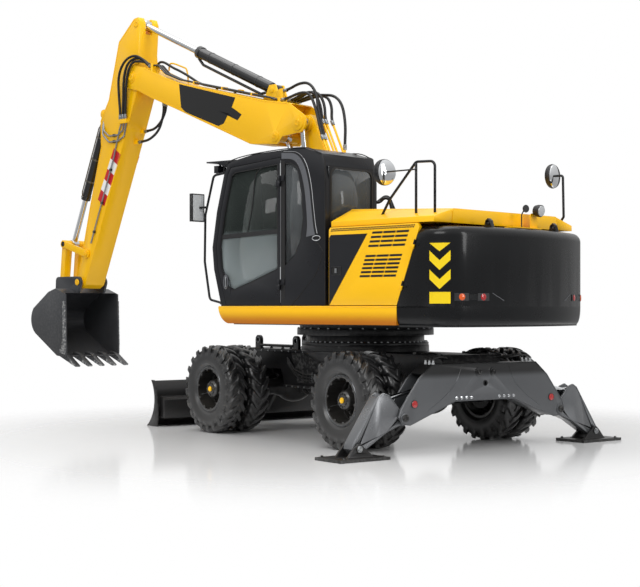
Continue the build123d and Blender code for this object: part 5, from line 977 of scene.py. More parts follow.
# bright hinge strips in the door's seam
upper_piece("seam_bright_strips",
            join_parts(*[wall_sheet([(0.166, low), (0.166, high), (0.180, high), (0.180, low)], 1.2206,
                                    0.004)
                                               for low, high in ((1.750, 1.960), (2.930, 3.120))],
                                               tube([(0.173, 1.2206, 1.56), (0.173, 1.2206, 3.15)], 0.0022,
                                                    6)), BRIGHT,
            "cab_door", split=30)
upper_piece("seam_black_strip",
            wall_sheet([(0.105, 1.60), (0.105, 3.14), (0.160, 3.15), (0.160, 1.60)], 1.2203, 0.0012), SEAL,
            split=30)

# pillar behind the side window: grey arch with a bright line, then the dark rear corner
arch_out = smooth_path(on_wall([(0.16, 3.235), (-0.06, 3.205), (-0.190, 3.080), (-0.265, 2.86),
                                (-0.305, 2.60), (-0.335, 2.40), (-0.360, 2.30)], 1.2205), 8)
arch_in = smooth_path(on_wall([(0.16, 3.165), (-0.02, 3.140), (-0.120, 3.040), (-0.190, 2.83),
                               (-0.225, 2.58), (-0.235, 2.40), (-0.220, 2.28)], 1.2205), 8)
upper_piece("pillar_arch", skin_band(arch_out, arch_in, 3), ARCH_GREY)
upper_piece("pillar_bright_line", tube(arch_out + [-0.035, 0.001, 0.012], 0.0035, 6), BRIGHT)
upper_piece("pillar_dark_lines",
            join_parts(tube(arch_out + [-0.018, 0.0, 0.006], 0.004, 6), tube(arch_in, 0.004, 6)), SEAL)
grab = np.stack([-0.392 + 0.060 * np.cos(turn), np.full(33, 1.232), 2.262 + 0.026 * np.sin(turn)], -1)
upper_piece("grab_ring", join_parts(tube(grab, 0.0045, 8, closed_ends=False),
                                    tube([(-0.392, 1.218, 2.237), (-0.392, 1.233, 2.237)], 0.008, 8)),
            BRIGHT)
seams = [[(-0.49, 2.107), (-0.43, 1.98), (-0.361, 1.86), (-0.15, 1.66), (0.010, 1.527)],
         [(-0.513, 3.10), (-0.513, 2.30), (-0.513, 1.527)], [(-0.36, 2.215), (-0.42, 2.19), (-0.49, 2.107)]]
upper_piece("cab_panel_seams",
            join_parts(*[tube(smooth_path([(a, 1.2203, b) for a, b in line], 6), 0.0050, 6)
                                            for line in seams]), DARK_SCREEN_AND_SHADE)

# rear window's seal, and the black sheet that frames it
REAR_X = -0.5202


def rounded_outline(low, high, radius, steps=9):
    """Rectangle between two corners, each corner a quarter circle of the radius."""
    low, high = np.array(low) + radius, np.array(high) - radius
    turn = np.linspace(0, pi / 2, steps)[None] + np.arange(4)[:, None] * pi / 2
    centres = np.array([(high[0], high[1]), (low[0], high[1]), (low[0], low[1]), (high[0], low[1])])
    return (centres[:, None] + radius * np.stack([np.cos(turn), np.sin(turn)], -1)).reshape(-1, 2)


def to_rear(part):
    """A part drawn on a side wall, turned to lie on the cab's rear wall."""
    v = part[0]
    return np.stack([REAR_X + 0.002 - v[:, 1], v[:, 0], v[:, 2]], -1), part[1][:, ::-1]


pane = rounded_outline((0.462, 2.316), (1.143, 3.034), 0.085)
offset = pane - pane.mean(0)
half = (pane.max(0) - pane.min(0)) / 2
reach = offset / half
square = pane.mean(0) + offset / np.abs(reach).max(1)[:, None] * (0.363, 0.381) / half
frame_rings = [np.insert(closed(ring), 1, 0.004, axis=1) for ring in (square, pane)]
upper_piece("rear_pane_frame", to_rear((np.concatenate(frame_rings), grid_faces(2, len(frame_rings[0])))),
            CAB_BLACK, split=30)
upper_piece("rear_pane_seal", to_rear(seal(pane, 0.002, 0.014, 0.008)), SEAL)

# windscreen: seal, wiper with its arm
SCREEN_EDGE = [(1.180, 1.665), (1.294, 1.960), (1.3215, 2.210), (1.246, 2.623), (1.125, 3.035)]
front_lines = [on_wall(SCREEN_EDGE, y) for y in (0.447, 1.158)]
front_lines += [[(x, 0.447, z), (x, 1.158, z)] for x, z in ((1.182, 1.660), (1.127, 3.035))]
upper_piece("windscreen_seal", join_parts(*[tube(np.array(line), 0.009, 8) for line in front_lines]), SEAL)
upper_piece("wiper_arm",
            tube([(1.205, 0.80, 1.69), (1.235, 0.80, 1.72), (1.308, 0.81, 1.98), (1.330, 0.82, 2.20)],
                 0.006, 8), PLASTIC)
upper_piece("wiper_blade",
            tube(on_wall([(1.318, 2.02), (1.331, 2.22), (1.298, 2.42), (1.267, 2.58)], 0.83), 0.006, 6,
                 flat=1.6), SEAL)

# roof: visor's mesh edge, work lamps' lenses, drip rails and the front rail's clamps
lens = lathe([(0.040, 0.0), (0.038, 0.008), (0.020, 0.011), (0.001, 0.012)], steps=28)
ring = lathe([(0.046, -0.004), (0.050, 0.004), (0.046, 0.012), (0.040, 0.004)], steps=28)
lamp_places = [(1.3652, 1.090, 3.135), (1.3652, 0.530, 3.135)]
upper_piece("roof_lamp_lenses", copies(lens, lamp_places, [(1, 0, 0)]), WHITE_LENS)
upper_piece("roof_lamp_rims", copies(ring, lamp_places, [(1, 0, 0)]), PLASTIC)
ribs = [tube([(1.055, y, 3.2235), (1.473, y, 3.2345)], 0.005, 6) for y in np.linspace(0.48, 1.125, 9)]
upper_piece("visor_ribs",
            join_parts(*ribs, tube([(1.474, 0.435, 3.226), (1.474, 1.170, 3.226)], 0.009, 8)), PLASTIC)
drip = smooth_path(on_wall([(1.125, 3.075), (1.045, 3.194), (0.600, 3.257), (-0.16, 3.268),
                            (-0.45, 3.185)], 1.2235), 6)
upper_piece("roof_drip_rail",
            join_parts(tube(drip, 0.006, 8), tube(drip * [1, 0, 1] + [0, 0.3815, 0], 0.006, 8)), SEAL)
upper_piece("front_rail_clamps",
            copies(lathe([(0.002, -0.018), (0.019, -0.018), (0.019, 0.018), (0.002, 0.018)], steps=16),
                                        [(1.115, 1.190, 3.080), (1.190, 1.190, 1.560)], [(1, 0, 0)]),
            DARK_BOLT)

# ---------------------------------------------------------------- inside the cab

def rounded_box(size, centre, radius=0.02, steps=10):
    """Closed box with rounded edges: a cube's grid pushed out to a radius round the core box."""
    n = steps
    u, v = np.meshgrid(np.linspace(-1, 1, n), np.linspace(-1, 1, n), indexing="ij")
    flat = np.stack([u.ravel(), v.ravel(), np.ones(n * n)], -1)
    half = np.array(size) / 2
    parts = []
    for axes, sign in (((0, 1, 2), 1), ((1, 0, 2), -1), ((1, 2, 0), 1), ((2, 1, 0), -1), ((2, 0, 1), 1),
                       ((0, 2, 1), -1)):
        p = np.empty_like(flat)
        p[:, axes[0]], p[:, axes[1]], p[:, axes[2]] = flat[:, 0], flat[:, 1], sign * flat[:, 2]
        p = p * half
        core = np.clip(p, -(half - radius), half - radius)
        away = p - core
        size_away = np.linalg.norm(away, axis=1, keepdims=True)
        p = core + away / np.maximum(size_away, 1e-9) * radius
        faces = grid_faces(n, n)
        parts.append((p + centre, faces))
    return join_parts(*parts)


def cushion(size, centre, crown, seams=3, steps=64):
    """Upholstered pad: a rounded box whose top swells by crown * (1 - x^2)(1 - y^2) between its seams."""
    n = steps
    u, v = np.meshgrid(np.linspace(-1, 1, n), np.linspace(-1, 1, n), indexing="ij")
    half = np.array(size) / 2
    round_off = 1 - np.clip((np.maximum(np.abs(u), np.abs(v)) - 0.86) / 0.14, 0, 1) ** 2.2
    swell = (1 - u ** 4) * (1 - v ** 4)
    channel = np.minimum.reduce([np.abs(v - s)
                                 for s in np.linspace(-0.5, 0.5, seams)]) if seams else 1 + 0 * u
    groove = np.exp(-(channel / 0.035) ** 2) * (np.abs(u) < 0.85)
    wrinkle = 0.0016 * np.sin(u * 21 + np.sin(v * 9) * 2) * np.sin(v * 17) * swell
    top = half[2] * (0.25 + 0.75 * round_off) - crown + crown * swell - 0.012 * groove + wrinkle
    squeeze = 1 - 0.06 * np.clip((np.maximum(np.abs(u), np.abs(v)) - 0.9) / 0.1, 0, 1)
    upper = np.stack([u * half[0] * squeeze, v * half[1] * squeeze, top], -1).reshape(-1, 3)
    lower = np.stack([u * half[0] * squeeze * 0.98, v * half[1] * squeeze * 0.98,
                      np.full_like(u, -half[2])], -1).reshape(-1, 3)
    edge = np.concatenate([np.arange(n), np.arange(1, n) * n + n - 1, (n - 1) * n
                           + np.arange(n - 2, -1, -1), np.arange(n - 2, 0, -1) * n])
    k = len(edge)
    i = np.arange(k)
    wall = np.stack([edge[i], edge[(i + 1) % k], edge[(i + 1) % k] + n * n, edge[i] + n * n], -1)
    faces = grid_faces(n, n)
    verts = np.concatenate([upper, lower])
    return verts + centre, np.concatenate([faces, faces[:, ::-1] + n * n, wall[:, ::-1]])


def upright(part, lean=0.0):
    """A pad drawn lying down, stood up with its top to the front and leaned back."""
    v = part[0]
    c, s = cos(lean), sin(lean)
    stood = np.stack([v[:, 2] * c - v[:, 0] * s, v[:, 1], v[:, 0] * c + v[:, 2] * s], -1)
    return stood, part[1][:, ::-1]


def puffed(part, cap, pressure=4.0, voxel=0.0065):
    """A pad blown up as cloth under inner pressure for 20 frames; no point moves further than the cap."""
    mesh = bpy.data.meshes.new("pad")
    mesh.from_pydata(part[0].tolist(), [], part[1].tolist())
    pad = bpy.data.objects.new("pad", mesh)
    bpy.context.scene.collection.objects.link(pad)
    even = pad.modifiers.new("even mesh", "REMESH")
    even.mode, even.voxel_size = "VOXEL", voxel

    def shape():
        done = pad.evaluated_get(bpy.context.evaluated_depsgraph_get()).to_mesh()
        verts = np.empty(len(done.vertices) * 3)
        done.vertices.foreach_get("co", verts)
        return verts.reshape(-1, 3), np.array([list(face.vertices) for face in done.polygons])

    start, faces = shape()
    pad.modifiers.clear()
    pad.data = bpy.data.meshes.new("even pad")
    pad.data.from_pydata(start.tolist(), [], faces.tolist())
    cloth = pad.modifiers.new("stuffing", "CLOTH").settings
    cloth.use_pressure, cloth.uniform_pressure_force = True, pressure
    cloth.effector_weights.gravity = 0
    for moment in range(1, 21):
        bpy.context.scene.frame_set(moment)
    move = shape()[0] - start
    far = np.linalg.norm(move, axis=1, keepdims=True)
    bpy.data.objects.remove(pad)
    bpy.context.scene.frame_set(1)
    return start + move * np.minimum(1, cap / np.maximum(far, 1e-9)), faces


SEAT_Y = 0.80
base = puffed(cushion((0.49, 0.49, 0.12), (0, 0, 0), 0.030), 0.006)
seat_pad = upper_piece("seat_cushion", (base[0] + [0.172, SEAT_Y, 1.873], base[1]), SEAT_CLOTH, split=0)
back = upright(puffed(cushion((0.52, 0.47, 0.10), (0, 0, 0), 0.025), 0.006), 0.0)
back_pad = upper_piece("seat_backrest", (back[0] + [-0.108, SEAT_Y, 2.212], back[1]), SEAT_CLOTH, split=0)
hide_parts("operator_seat")
bellows = lathe([(0.16, 0.0), (0.185, 0.02), (0.15, 0.045), (0.185, 0.07), (0.15, 0.095), (0.185, 0.12),
                 (0.15, 0.145), (0.18, 0.165), (0.19, 0.18)],
                (0.150, SEAT_Y, 1.625), (0, 0, 1), 32)
upper_piece("seat_suspension_bellows", bellows, PLASTIC)
upper_piece("seat_base_plate", rounded_box((0.34, 0.34, 0.05), (0.150, SEAT_Y, 1.600), 0.008, 6),
            CHASSIS_BLACK)
upper_piece("seat_pan", rounded_box((0.46, 0.44, 0.03), (0.160, SEAT_Y, 1.797), 0.010, 6), PLASTIC)
for label, y in (("left", SEAT_Y + 0.225), ("right", SEAT_Y - 0.225)):
    upper_piece(f"armrest_{label}", rounded_box((0.30, 0.055, 0.045), (0.100, y, 2.090), 0.018, 8), PLASTIC)

# ---------------------------------------------------------------- boom, dipper and bucket

def pin_end(radius, bolts=2):
    """End of a pin: a chamfered disc with a keeper plate and its bolts, on the plane z = 0."""
    disc = lathe([(radius, 0.0), (radius, 0.004), (radius - 0.004, 0.008), (radius * 0.55, 0.008),
                  (radius * 0.5, 0.0055),
                  (0.001, 0.0055)], steps=32)
    ring = lathe([(radius + 0.010, 0.0), (radius + 0.009, 0.003), (radius + 0.001, 0.004)], steps=32)
    turn = np.arange(bolts) * tau / bolts + 0.6
    heads = copies(hex_bolt(0.008, 0.007),
                   np.stack([radius * 0.72 * np.cos(turn), radius * 0.72 * np.sin(turn),
                                                     np.full(bolts, 0.008)], -1))
    return join_parts(disc, ring, heads)


def weld_ring(centre, radius, axis, bead=0.004):
    """Weld bead round a boss: a torus with a fine ripple along it."""
    turn = np.linspace(0, tau, 97)
    frame_rows = basis(axis)
    circle = np.stack([radius * np.cos(turn), radius * np.sin(turn), np.zeros(97)],
                      -1) @ frame_rows + centre
    return tube(circle, bead * (1 + 0.16 * np.sin(turn * 60)), 6, closed_ends=False)


# name, body, (forward, up), outer face to the left, radius of the pin, radius of its boss
PINS = [("boom_foot", "upper_structure", (0.060, 1.850), 0.270, 0.045, 0.0),
        ("boom_knee", "upper_boom", (0.920, 3.740), 0.210, 0.040, 0.092),
        ("adjusting_eye", "upper_boom", (1.320, 3.610), 0.210, 0.030, 0.066),
        ("elbow", "upper_boom", (4.140, 4.665), 0.214, 0.050, 0.080),
        ("dipper_head", "dipper", (4.080, 5.395), 0.165, 0.045, 0.0),
        ("rocker", "dipper", (5.190, 2.275), 0.205, 0.030, 0.0),
        ("rocker_eye", "bucket_rocker", (5.740, 2.430), 0.196, 0.028, 0.0),
        ("link_eye", "bucket_link", (5.800, 1.890), 0.2035, 0.036, 0.0),
        ("bucket", "dipper", (5.330, 1.870), 0.245, 0.036, 0.0)]
BOSS_FACE = 0.2005                 # just outside the upper boom's side plates
for label, body, (x, z), y, radius, boss in PINS:
    ends = join_parts(copies(pin_end(radius), [(x, y, z)], [(0, 1, 0)]),
                      copies(pin_end(radius), [(x, -y, z)], [(0, -1, 0)]))
    upper_piece(label + "_pin_ends", ends, YELLOW if body in ("upper_boom", "dipper") else DARK_BOLT, body,
                split=30)
    if boss:
        upper_piece(label + "_boss_welds", join_parts(weld_ring((x, BOSS_FACE, z), boss + 0.002, (0, 1, 0)),
                                                      weld_ring((x, -BOSS_FACE, z), boss + 0.002,
                                                                (0, 1, 0))), YELLOW, body)

# outlines of the box sections, for the weld seams that run along their edges
UPPER_TOP = [(1.086, 4.003), (1.501, 4.076), (3.138, 4.476), (3.519, 4.616), (3.865, 4.768)]
UPPER_LOW = [(4.10, 4.490), (3.991, 4.460), (3.703, 4.334), (3.171, 4.125), (1.760, 3.553), (1.40, 3.523)]
DIPPER_REAR = [(4.010, 4.600), (4.286, 3.957), (4.913, 2.555), (5.240, 1.830)]
DIPPER_FRONT = [(4.130, 5.470), (4.465, 5.199), (4.696, 4.414), (4.885, 4.140), (4.873, 3.767),
                (5.135, 2.930), (5.410, 1.960)]
LOWER_REAR = [(-0.070, 1.830), (0.110, 2.330), (0.470, 3.120)]
LOWER_FRONT = [(0.240, 1.800), (0.600, 2.640), (0.640, 2.870), (0.610, 3.060)]


def seams_of(lines, y, bead=0.003):
    """Weld beads along the lines (forward, up), on the side plates at y and at -y."""
    beads = []
    for line in lines:
        p = np.array(line)
        for hand in (1, -1):
            path = smooth_path(np.insert(p, 1, hand * y, axis=1), 1)
            beads.append(tube(path, bead, 6))
    return join_parts(*beads)


def moved_in(line, amount):
    """Points moved across the line's run by the amount, to its left where that is positive."""
    p = np.array(line)
    d = np.gradient(p, axis=0)
    d /= np.linalg.norm(d, axis=1, keepdims=True)
    return p + np.stack([-d[:, 1], d[:, 0]], -1) * amount


upper_piece("upper_boom_seams",
            seams_of([moved_in(UPPER_TOP, -0.014), moved_in(UPPER_LOW, -0.014)], 0.2003), YELLOW,
            "upper_boom")
upper_piece("dipper_seams",
            seams_of([moved_in(DIPPER_REAR, 0.014), moved_in(DIPPER_FRONT, -0.014)], 0.1653), YELLOW,
            "dipper")
upper_piece("lower_boom_seams",
            seams_of([moved_in(LOWER_REAR, -0.014), moved_in(LOWER_FRONT, 0.014)], 0.1903), YELLOW,
            "lower_boom")


def routed(points, bend, per_corner=8):
    """Straight runs joined by round bends: each corner is a quadratic curve between its two tangents."""
    p = np.array(points, float)
    out = [p[:1]]
    mix = np.linspace(0, 1, per_corner)[:, None]
    for a, b, c in zip(p[:-2], p[1:-1], p[2:]):
        ua, uc = a - b, c - b
        la, lc = np.linalg.norm(ua), np.linalg.norm(uc)
        half = np.arccos(np.clip((ua @ uc) / la / lc, -1, 1)) / 2
        cut = min(bend / np.tan(half), 0.49 * la, 0.49 * lc)
        start, end = b + ua / la * cut, b + uc / lc * cut
        out.append((1 - mix) ** 2 * start + 2 * mix * (1 - mix) * b + mix ** 2 * end)
    out.append(p[-1:])
    path = np.concatenate(out)
    step = np.linalg.norm(np.diff(path, axis=0), axis=1)
    path = path[np.concatenate([[True], step > 1e-5])]
    run = np.concatenate([[0], np.cumsum(np.linalg.norm(np.diff(path, axis=0), axis=1))])
    even = np.unique(np.concatenate([run, np.arange(0, run[-1], 0.03)]))
    return np.stack([np.interp(even, run, path[:, k]) for k in range(3)], -1)


def flowing(points, per_corner=12):
    """Quadratic B-spline with the points as its control polygon: it starts and ends on the end points."""
    p = np.array(points, float)
    knots = np.concatenate([p[:1], (p[1:-2] + p[2:-1]) / 2, p[-1:]])
    t = np.linspace(0, 1, per_corner, endpoint=False)[:, None, None]
    curve = (1 - t) ** 2 * knots[:-1] + 2 * t * (1 - t) * p[1:-1] + t ** 2 * knots[1:]
    return np.concatenate([curve.transpose(1, 0, 2).reshape(-1, 3), p[-1:]])


def swept(path, radius, sides=14):
    """Round skin about a path in space, its cross-section carried along without twist."""
    p = np.asarray(path, float)
    t = np.gradient(p, axis=0)
    t /= np.linalg.norm(t, axis=1, keepdims=True)
    u = np.empty_like(p)
    u[0] = basis(t[0])[0]
    for k in range(1, len(p)):
        v = u[k - 1] - t[k] * (u[k - 1] @ t[k])
        u[k] = v / np.linalg.norm(v)
    w = np.cross(t, u)
    a = np.arange(sides) * tau / sides
    r = np.broadcast_to(np.asarray(radius, float), (len(p),))[:, None, None]
    rings = p[:, None] + r * (np.cos(a)[None, :, None] * u[:, None] + np.sin(a)[None, :, None] * w[:, None])
    return join_parts((rings.reshape(-1, 3), grid_faces(len(p), sides, wrap_columns=True)[:, ::-1]),
                      fan(rings[0]), fan(rings[-1], True))


def hose_end(at, toward):
    """Crimped collar and hexagon nut of a hose, from its fitting's face along the hose."""
    collar = [(0.0235, 0.0), (0.0235, 0.022)]
    nut = lathe(collar, steps=6)
    crimp = lathe([(0.0225, 0.023), (0.0235, 0.027), (0.0215, 0.033), (0.0235, 0.039), (0.0215, 0.045),
                   (0.0235, 0.051),
                   (0.0225, 0.060), (0.0172, 0.064)], steps=18)
    return copies(join_parts(nut, crimp), [at], [toward])


HOSE_R = 0.0175
BACK_LOW, BACK_HIGH = np.array((0.110, 2.330)), np.array((0.800, 3.780))
BACK_RUN = (BACK_HIGH - BACK_LOW) / np.linalg.norm(BACK_HIGH - BACK_LOW)
BACK_OUT = np.array((-BACK_RUN[1], BACK_RUN[0])) * 0.090
# to the left, run of the pipe's end along the boom's rear edge, places passed, height of the end
KNEE_ROUTES = [
    (0.112, 1.270, [(0.700, 3.900), (0.800, 4.095), (0.960, 4.125)], 4.066),
    (0.072, 1.270, [(0.705, 3.900), (0.725, 4.090), (0.850, 4.235), (1.030, 4.245)], 4.185),
    (0.0, 1.500, [(0.730, 3.960), (0.830, 4.120), (0.980, 4.140)], 4.066),
    (-0.055, 1.500, [(0.712, 3.960), (0.800, 4.110), (0.960, 4.155)], 4.066),
    (-0.110, None, [(0.418, 3.700), (0.470, 3.950), (0.600, 4.070), (0.780, 4.095), (1.000, 4.115)], 4.066),
    (-0.165, 1.500, [(0.695, 3.940), (0.760, 4.070), (0.900, 4.110)], 4.066)]
hoses, low_ends, high_ends = [], [], []
for y, run, places, end_z in KNEE_ROUTES:
    if run:
        start = BACK_LOW + BACK_RUN * run + BACK_OUT
        lead = start + BACK_RUN * 0.075
        rise = (BACK_RUN[0], 0, BACK_RUN[1])
    else:
        start, lead, rise = np.array((0.430, 3.400)), np.array((0.430, 3.475)), (0, 0, 1)
    route = [start, lead] + places + [(1.215, end_z), (1.2897, end_z)]
    hoses.append(swept(flowing([(a, y, b) for a, b in route]), HOSE_R))
    low_ends.append(hose_end((start[0], y, start[1]), rise))
    high_ends.append(hose_end((1.2897, y, end_z), (-1, 0, 0)))
knee = upper_piece("knee_hose_runs", join_parts(*hoses), HOSE, None, split=0, slot="hose_rubber")
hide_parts("knee_hoses")
turned((0.640, 0.0, 3.780))
turned((1.210, 0.0, 4.080))
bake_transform(knee)
upper_piece("knee_hose_low_ends", join_parts(*low_ends), ZINC, "lower_boom", split=30)
upper_piece("knee_hose_high_ends", join_parts(*high_ends), ZINC, "upper_boom", split=30)

ELBOW_ROUTES = [
    (0.172, [(3.900, 0.180, 4.880), (4.050, 0.225, 4.960), (4.250, 0.242, 4.900), (4.385, 0.242, 4.700),
             (4.395, 0.215, 4.400)], (4.380, 0.205)),
    (0.130, [(3.890, 0.150, 4.860), (4.000, 0.202, 4.925), (4.175, 0.242, 4.870), (4.262, 0.242, 4.660),
             (4.300, 0.215, 4.360)], (4.325, 0.205)),
    (0.088, [(3.870, 0.120, 4.835), (3.965, 0.200, 4.870), (4.105, 0.242, 4.860), (4.205, 0.242, 4.620),
             (4.245, 0.215, 4.360)], (4.270, 0.205))]
UNDER_ROUTES = [(-0.050, 3.750, [(3.760, 4.130), (3.850, 3.930), (4.050, 3.825)], 4.290, 3.810),
                (-0.110, 3.775, [(3.800, 4.170), (3.880, 4.060), (4.010, 3.975)], 4.235, 3.960)]
hoses, low_ends, high_ends = [], [], []
for y, places, (end_x, end_y) in ELBOW_ROUTES:
    route = [(3.7303, y, 4.776),
             (3.805, y, 4.776)] + places + [(end_x, end_y, 4.185), (end_x, end_y, 4.1103)]
    hoses.append(swept(flowing(route), HOSE_R))
    low_ends.append(hose_end(route[0], (1, 0, 0)))
    high_ends.append(hose_end(route[-1], (0, 0, 1)))
for y, start_x, places, end_x, end_z in UNDER_ROUTES:
    route = [(start_x, y, 4.3197),
             (start_x, y, 4.245)] + [(a, y, b) for a,
                                     b in places] + [(end_x - 0.075, y, end_z), (end_x, y, end_z)]
    hoses.append(swept(flowing(route), HOSE_R))
    low_ends.append(hose_end(route[0], (0, 0, -1)))
    high_ends.append(hose_end(route[-1], (-1, 0, 0)))
elbow = upper_piece("elbow_hose_runs", join_parts(*hoses), HOSE, None, split=0, slot="hose_rubber")
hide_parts("elbow_hoses")
turned((3.80, 0.0, 4.80))
turned((4.32, 0.0, 4.22))
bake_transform(elbow)
upper_piece("elbow_hose_low_ends", join_parts(*low_ends), ZINC, "upper_boom", split=30)
upper_piece("elbow_hose_high_ends", join_parts(*high_ends), ZINC, "dipper", split=30)

# pipes along the upper boom's top, from the knee's block to the elbow's block
TOP_SLOPE = 0.2441                 # rise of the upper boom's top along its middle stretch
pipes, clamps = [], []
for y, high_y, z in ((0.112, 0.088, 4.066), (0.146, 0.130, 4.066), (0.182, 0.172, 4.066)):
    route = [(1.331, y, z), (1.42, y, z + 0.035), (1.52, y, 4.125), (3.138, y, 4.520),
             (3.45, high_y, 4.640), (3.60, high_y, 4.770),
             (3.690, high_y, 4.776)]
    pipes.append(swept(routed(route, 0.08), 0.0125))
for y, far in ((-0.120, 2.35), (-0.165, 2.75)):
    route = [(1.331, y, 4.066), (1.42, y, 4.096), (1.52, y, 4.110),
             (far, y, 4.110 + (far - 1.52) * TOP_SLOPE),
             (far + 0.10, y, 4.180 + (far - 1.52) * TOP_SLOPE - 0.10)]
    pipes.append(swept(routed(route, 0.05), 0.0125))
upper_piece("upper_boom_pipes", join_parts(*pipes), RAM_BLACK, "upper_boom")
loop = [(3.690, 0.088, 4.760), (3.710, 0.095, 4.815), (3.585, 0.100, 4.828), (3.380, 0.100, 4.715),
        (3.232, 0.100, 4.655), (3.015, 0.100, 4.545), (2.85, 0.080, 4.441), (2.60, 0.078, 4.380),
        (1.90, 0.075, 4.209), (1.64, 0.075, 4.146)]
upper_piece("boom_top_hose", swept(flowing(loop), 0.0165), HOSE, "upper_boom")
hoop = [(3.529, 0.040, 4.700), (3.532, 0.040, 4.786), (3.460, 0.040, 4.800), (3.232, 0.040, 4.712),
        (3.150, 0.040, 4.680), (3.130, 0.040, 4.485)]
upper_piece("boom_top_handle", swept(flowing(hoop), 0.0110, 12), YELLOW, "upper_boom")
for x in (1.75, 2.30, 2.85):
    z = 4.123 + (x - 1.52) * TOP_SLOPE
    clamps.append(rounded_box((0.035, 0.100, 0.040), (x, 0.145, z - 0.002), 0.005, 4))
    if x < 2.6:
        clamps.append(rounded_box((0.035, 0.090, 0.040), (x, -0.1425, z - 0.002), 0.005, 4))
upper_piece("upper_boom_pipe_clamps", join_parts(*clamps), YELLOW, "upper_boom")

# steel pipes on the dipper's left side, from the clamp to the bucket ram's ports, and along its rear
pipes = []
for shift, dip in ((0.0, 0.0), (-0.055, 0.085)):
    route = [(4.325 + shift, 0.190, 4.050), (4.345 + shift * 0.5, 0.188, 3.960 - dip),
             (4.45, 0.186, 3.905 - dip), (4.66, 0.186, 3.905 - dip),
             (4.775 + dip * 0.3, 0.186, 3.985 - dip * 0.6), (4.835 + dip * 0.2, 0.150, 4.150 - dip * 0.5)]
    pipes.append(swept(routed(route, 0.06), 0.0115))
route = [(4.380, 0.190, 4.050), (4.42, 0.188, 3.98), (4.55, 0.186, 3.60), (5.08, 0.186, 2.42)]
pipes.append(swept(routed(route, 0.06), 0.0105))
upper_piece("dipper_pipes", join_parts(*pipes), ZINC, "dipper")
clamp = rounded_box((0.045, 0.030, 0.040), (0, 0, 0), 0.006, 4)
upper_piece("dipper_pipe_clamps", join_parts(*[(clamp[0] + place, clamp[1]) for place in
                                               ((4.55, 0.181, 3.905), (4.55, 0.181, 3.820),
                                                (4.63, 0.181, 3.43), (4.83, 0.181, 2.98),
                                                (5.01, 0.181, 2.58))]),
            DARK_BOLT, "dipper")


def ram_trim(name, body, foot, eye, ys, tube_r, tube_len, over, pipe=True, beside=False, stand=0.030,
             pipe_r=0.0085, collar=0.0, finish=None):
    """Ports, feed pipe with its bands and the gland's ring of bolts on a ram's barrel."""
    foot, eye = np.array(foot), np.array(eye)
    d = (eye - foot) / np.linalg.norm(eye - foot)
    n = np.array([-d[1], d[0]]) * over
    parts, bolts = [], []
    for y in ys:
        away = np.array((0.0, 1.0, 0.0)) if beside else np.array((n[0], 0.0, n[1]))

        def at(run, out):
            return np.array([foot[0] + d[0] * run, y, foot[1] + d[1] * run]) + away * out

        axis = (d[0], 0, d[1])
        turn = np.arange(8) * tau / 8
        ring = np.stack([(tube_r - 0.006) * np.cos(turn), (tube_r - 0.006) * np.sin(turn), np.zeros(8)],
                        -1) @ basis(axis)
        bolts.append(copies(hex_bolt(0.0062, 0.006), ring + at(tube_len, 0), [axis]))
        if pipe:
            port = lathe([(0.020, -0.012), (0.020, 0.014), (0.015, 0.018), (0.002, 0.018)], steps=6)
            bolts.append(copies(port, [at(0.17, tube_r), at(tube_len - 0.045, tube_r + 0.004)], [away]))
            parts.append(swept(routed([at(0.17, tube_r + 0.010), at(0.17 + stand * 1.5, tube_r + stand),
                                       at(tube_len - 0.07 - stand * 1.5, tube_r + stand),
                                       at(tube_len - 0.045, tube_r + 0.010)], stand), pipe_r, 12))
            if collar:
                parts.append(lathe([(tube_r + 0.0002, -0.080), (tube_r + collar, -0.074),
                                    (tube_r + collar, -0.012), (tube_r + collar / 2, -0.003),
                                    (tube_r - 0.010, 0.0004)], at(tube_len, 0), axis, 40))
            for run in np.linspace(0.35, tube_len - 0.28, 3):
                band = lathe([(tube_r + 0.0002, -0.012), (tube_r + 0.0035, -0.010),
                              (tube_r + 0.0035, 0.010), (tube_r + 0.0002, 0.012)],
                             at(run, 0), axis, 32)
                parts.append(band)
    if parts:
        upper_piece(name + "_feed_pipes", join_parts(*parts), finish or PIPE_STEEL, body)
    upper_piece(name + "_gland_bolts", join_parts(*bolts), ZINC, body, split=25)


ram_trim("dipper_ram", "dipper_ram_barrel", (1.490, 4.215), (4.080, 5.395), (0.0,), 0.072, 1.620, -1,
         stand=0.058, pipe_r=0.019, collar=0.012, finish=RAM_BLACK)
ram_trim("bucket_ram", "bucket_ram_barrel", (4.930, 4.250), (5.740, 2.430), (0.0,), 0.062, 1.294, 1,
         beside=True)
ram_trim("lift_rams", "lift_ram_barrels", (0.620, 1.450), (0.920, 3.740), (0.1225, -0.1225), 0.062, 1.400,
         -1)
ram_trim("adjusting_ram", "adjusting_ram_barrel", (0.560, 2.250), (1.320, 3.610), (0.0,), 0.050, 1.080, -1,
         pipe=False)

# bucket: polished tips of the teeth, cutters' bolts, wear straps under the heel
tips = []
for i in range(5):
    y = (i - 2) * 0.2125
    tip = [(5.0495, 0.6895), (5.0615, 0.6715), (5.212, 0.724), (5.200, 0.7795)]
    tips.append(slab(tip, 0.0728, (0, y + 0.0364, 0), (1, 0, 0), (0, 0, 1)))
upper_piece("bucket_tooth_tips", join_parts(*tips), TOOTH_STEEL, "bucket", split=20)
places = [(x, hand * 0.4702, z) for hand in (1, -1) for x,
          z in ((5.325, 1.52), (5.320, 1.36), (5.316, 1.20), (5.312, 1.04), (5.420, 0.90))]
axes = [(0, np.sign(p[1]), 0) for p in places]
upper_piece("bucket_side_bolts", copies(hex_bolt(0.014, 0.010), places, axes), TOOTH_STEEL, "bucket",
            split=25)
cutter = [(5.298, 1.60), (5.355, 1.60), (5.352, 0.98), (5.420, 0.862), (5.285, 0.840), (5.280, 0.98)]
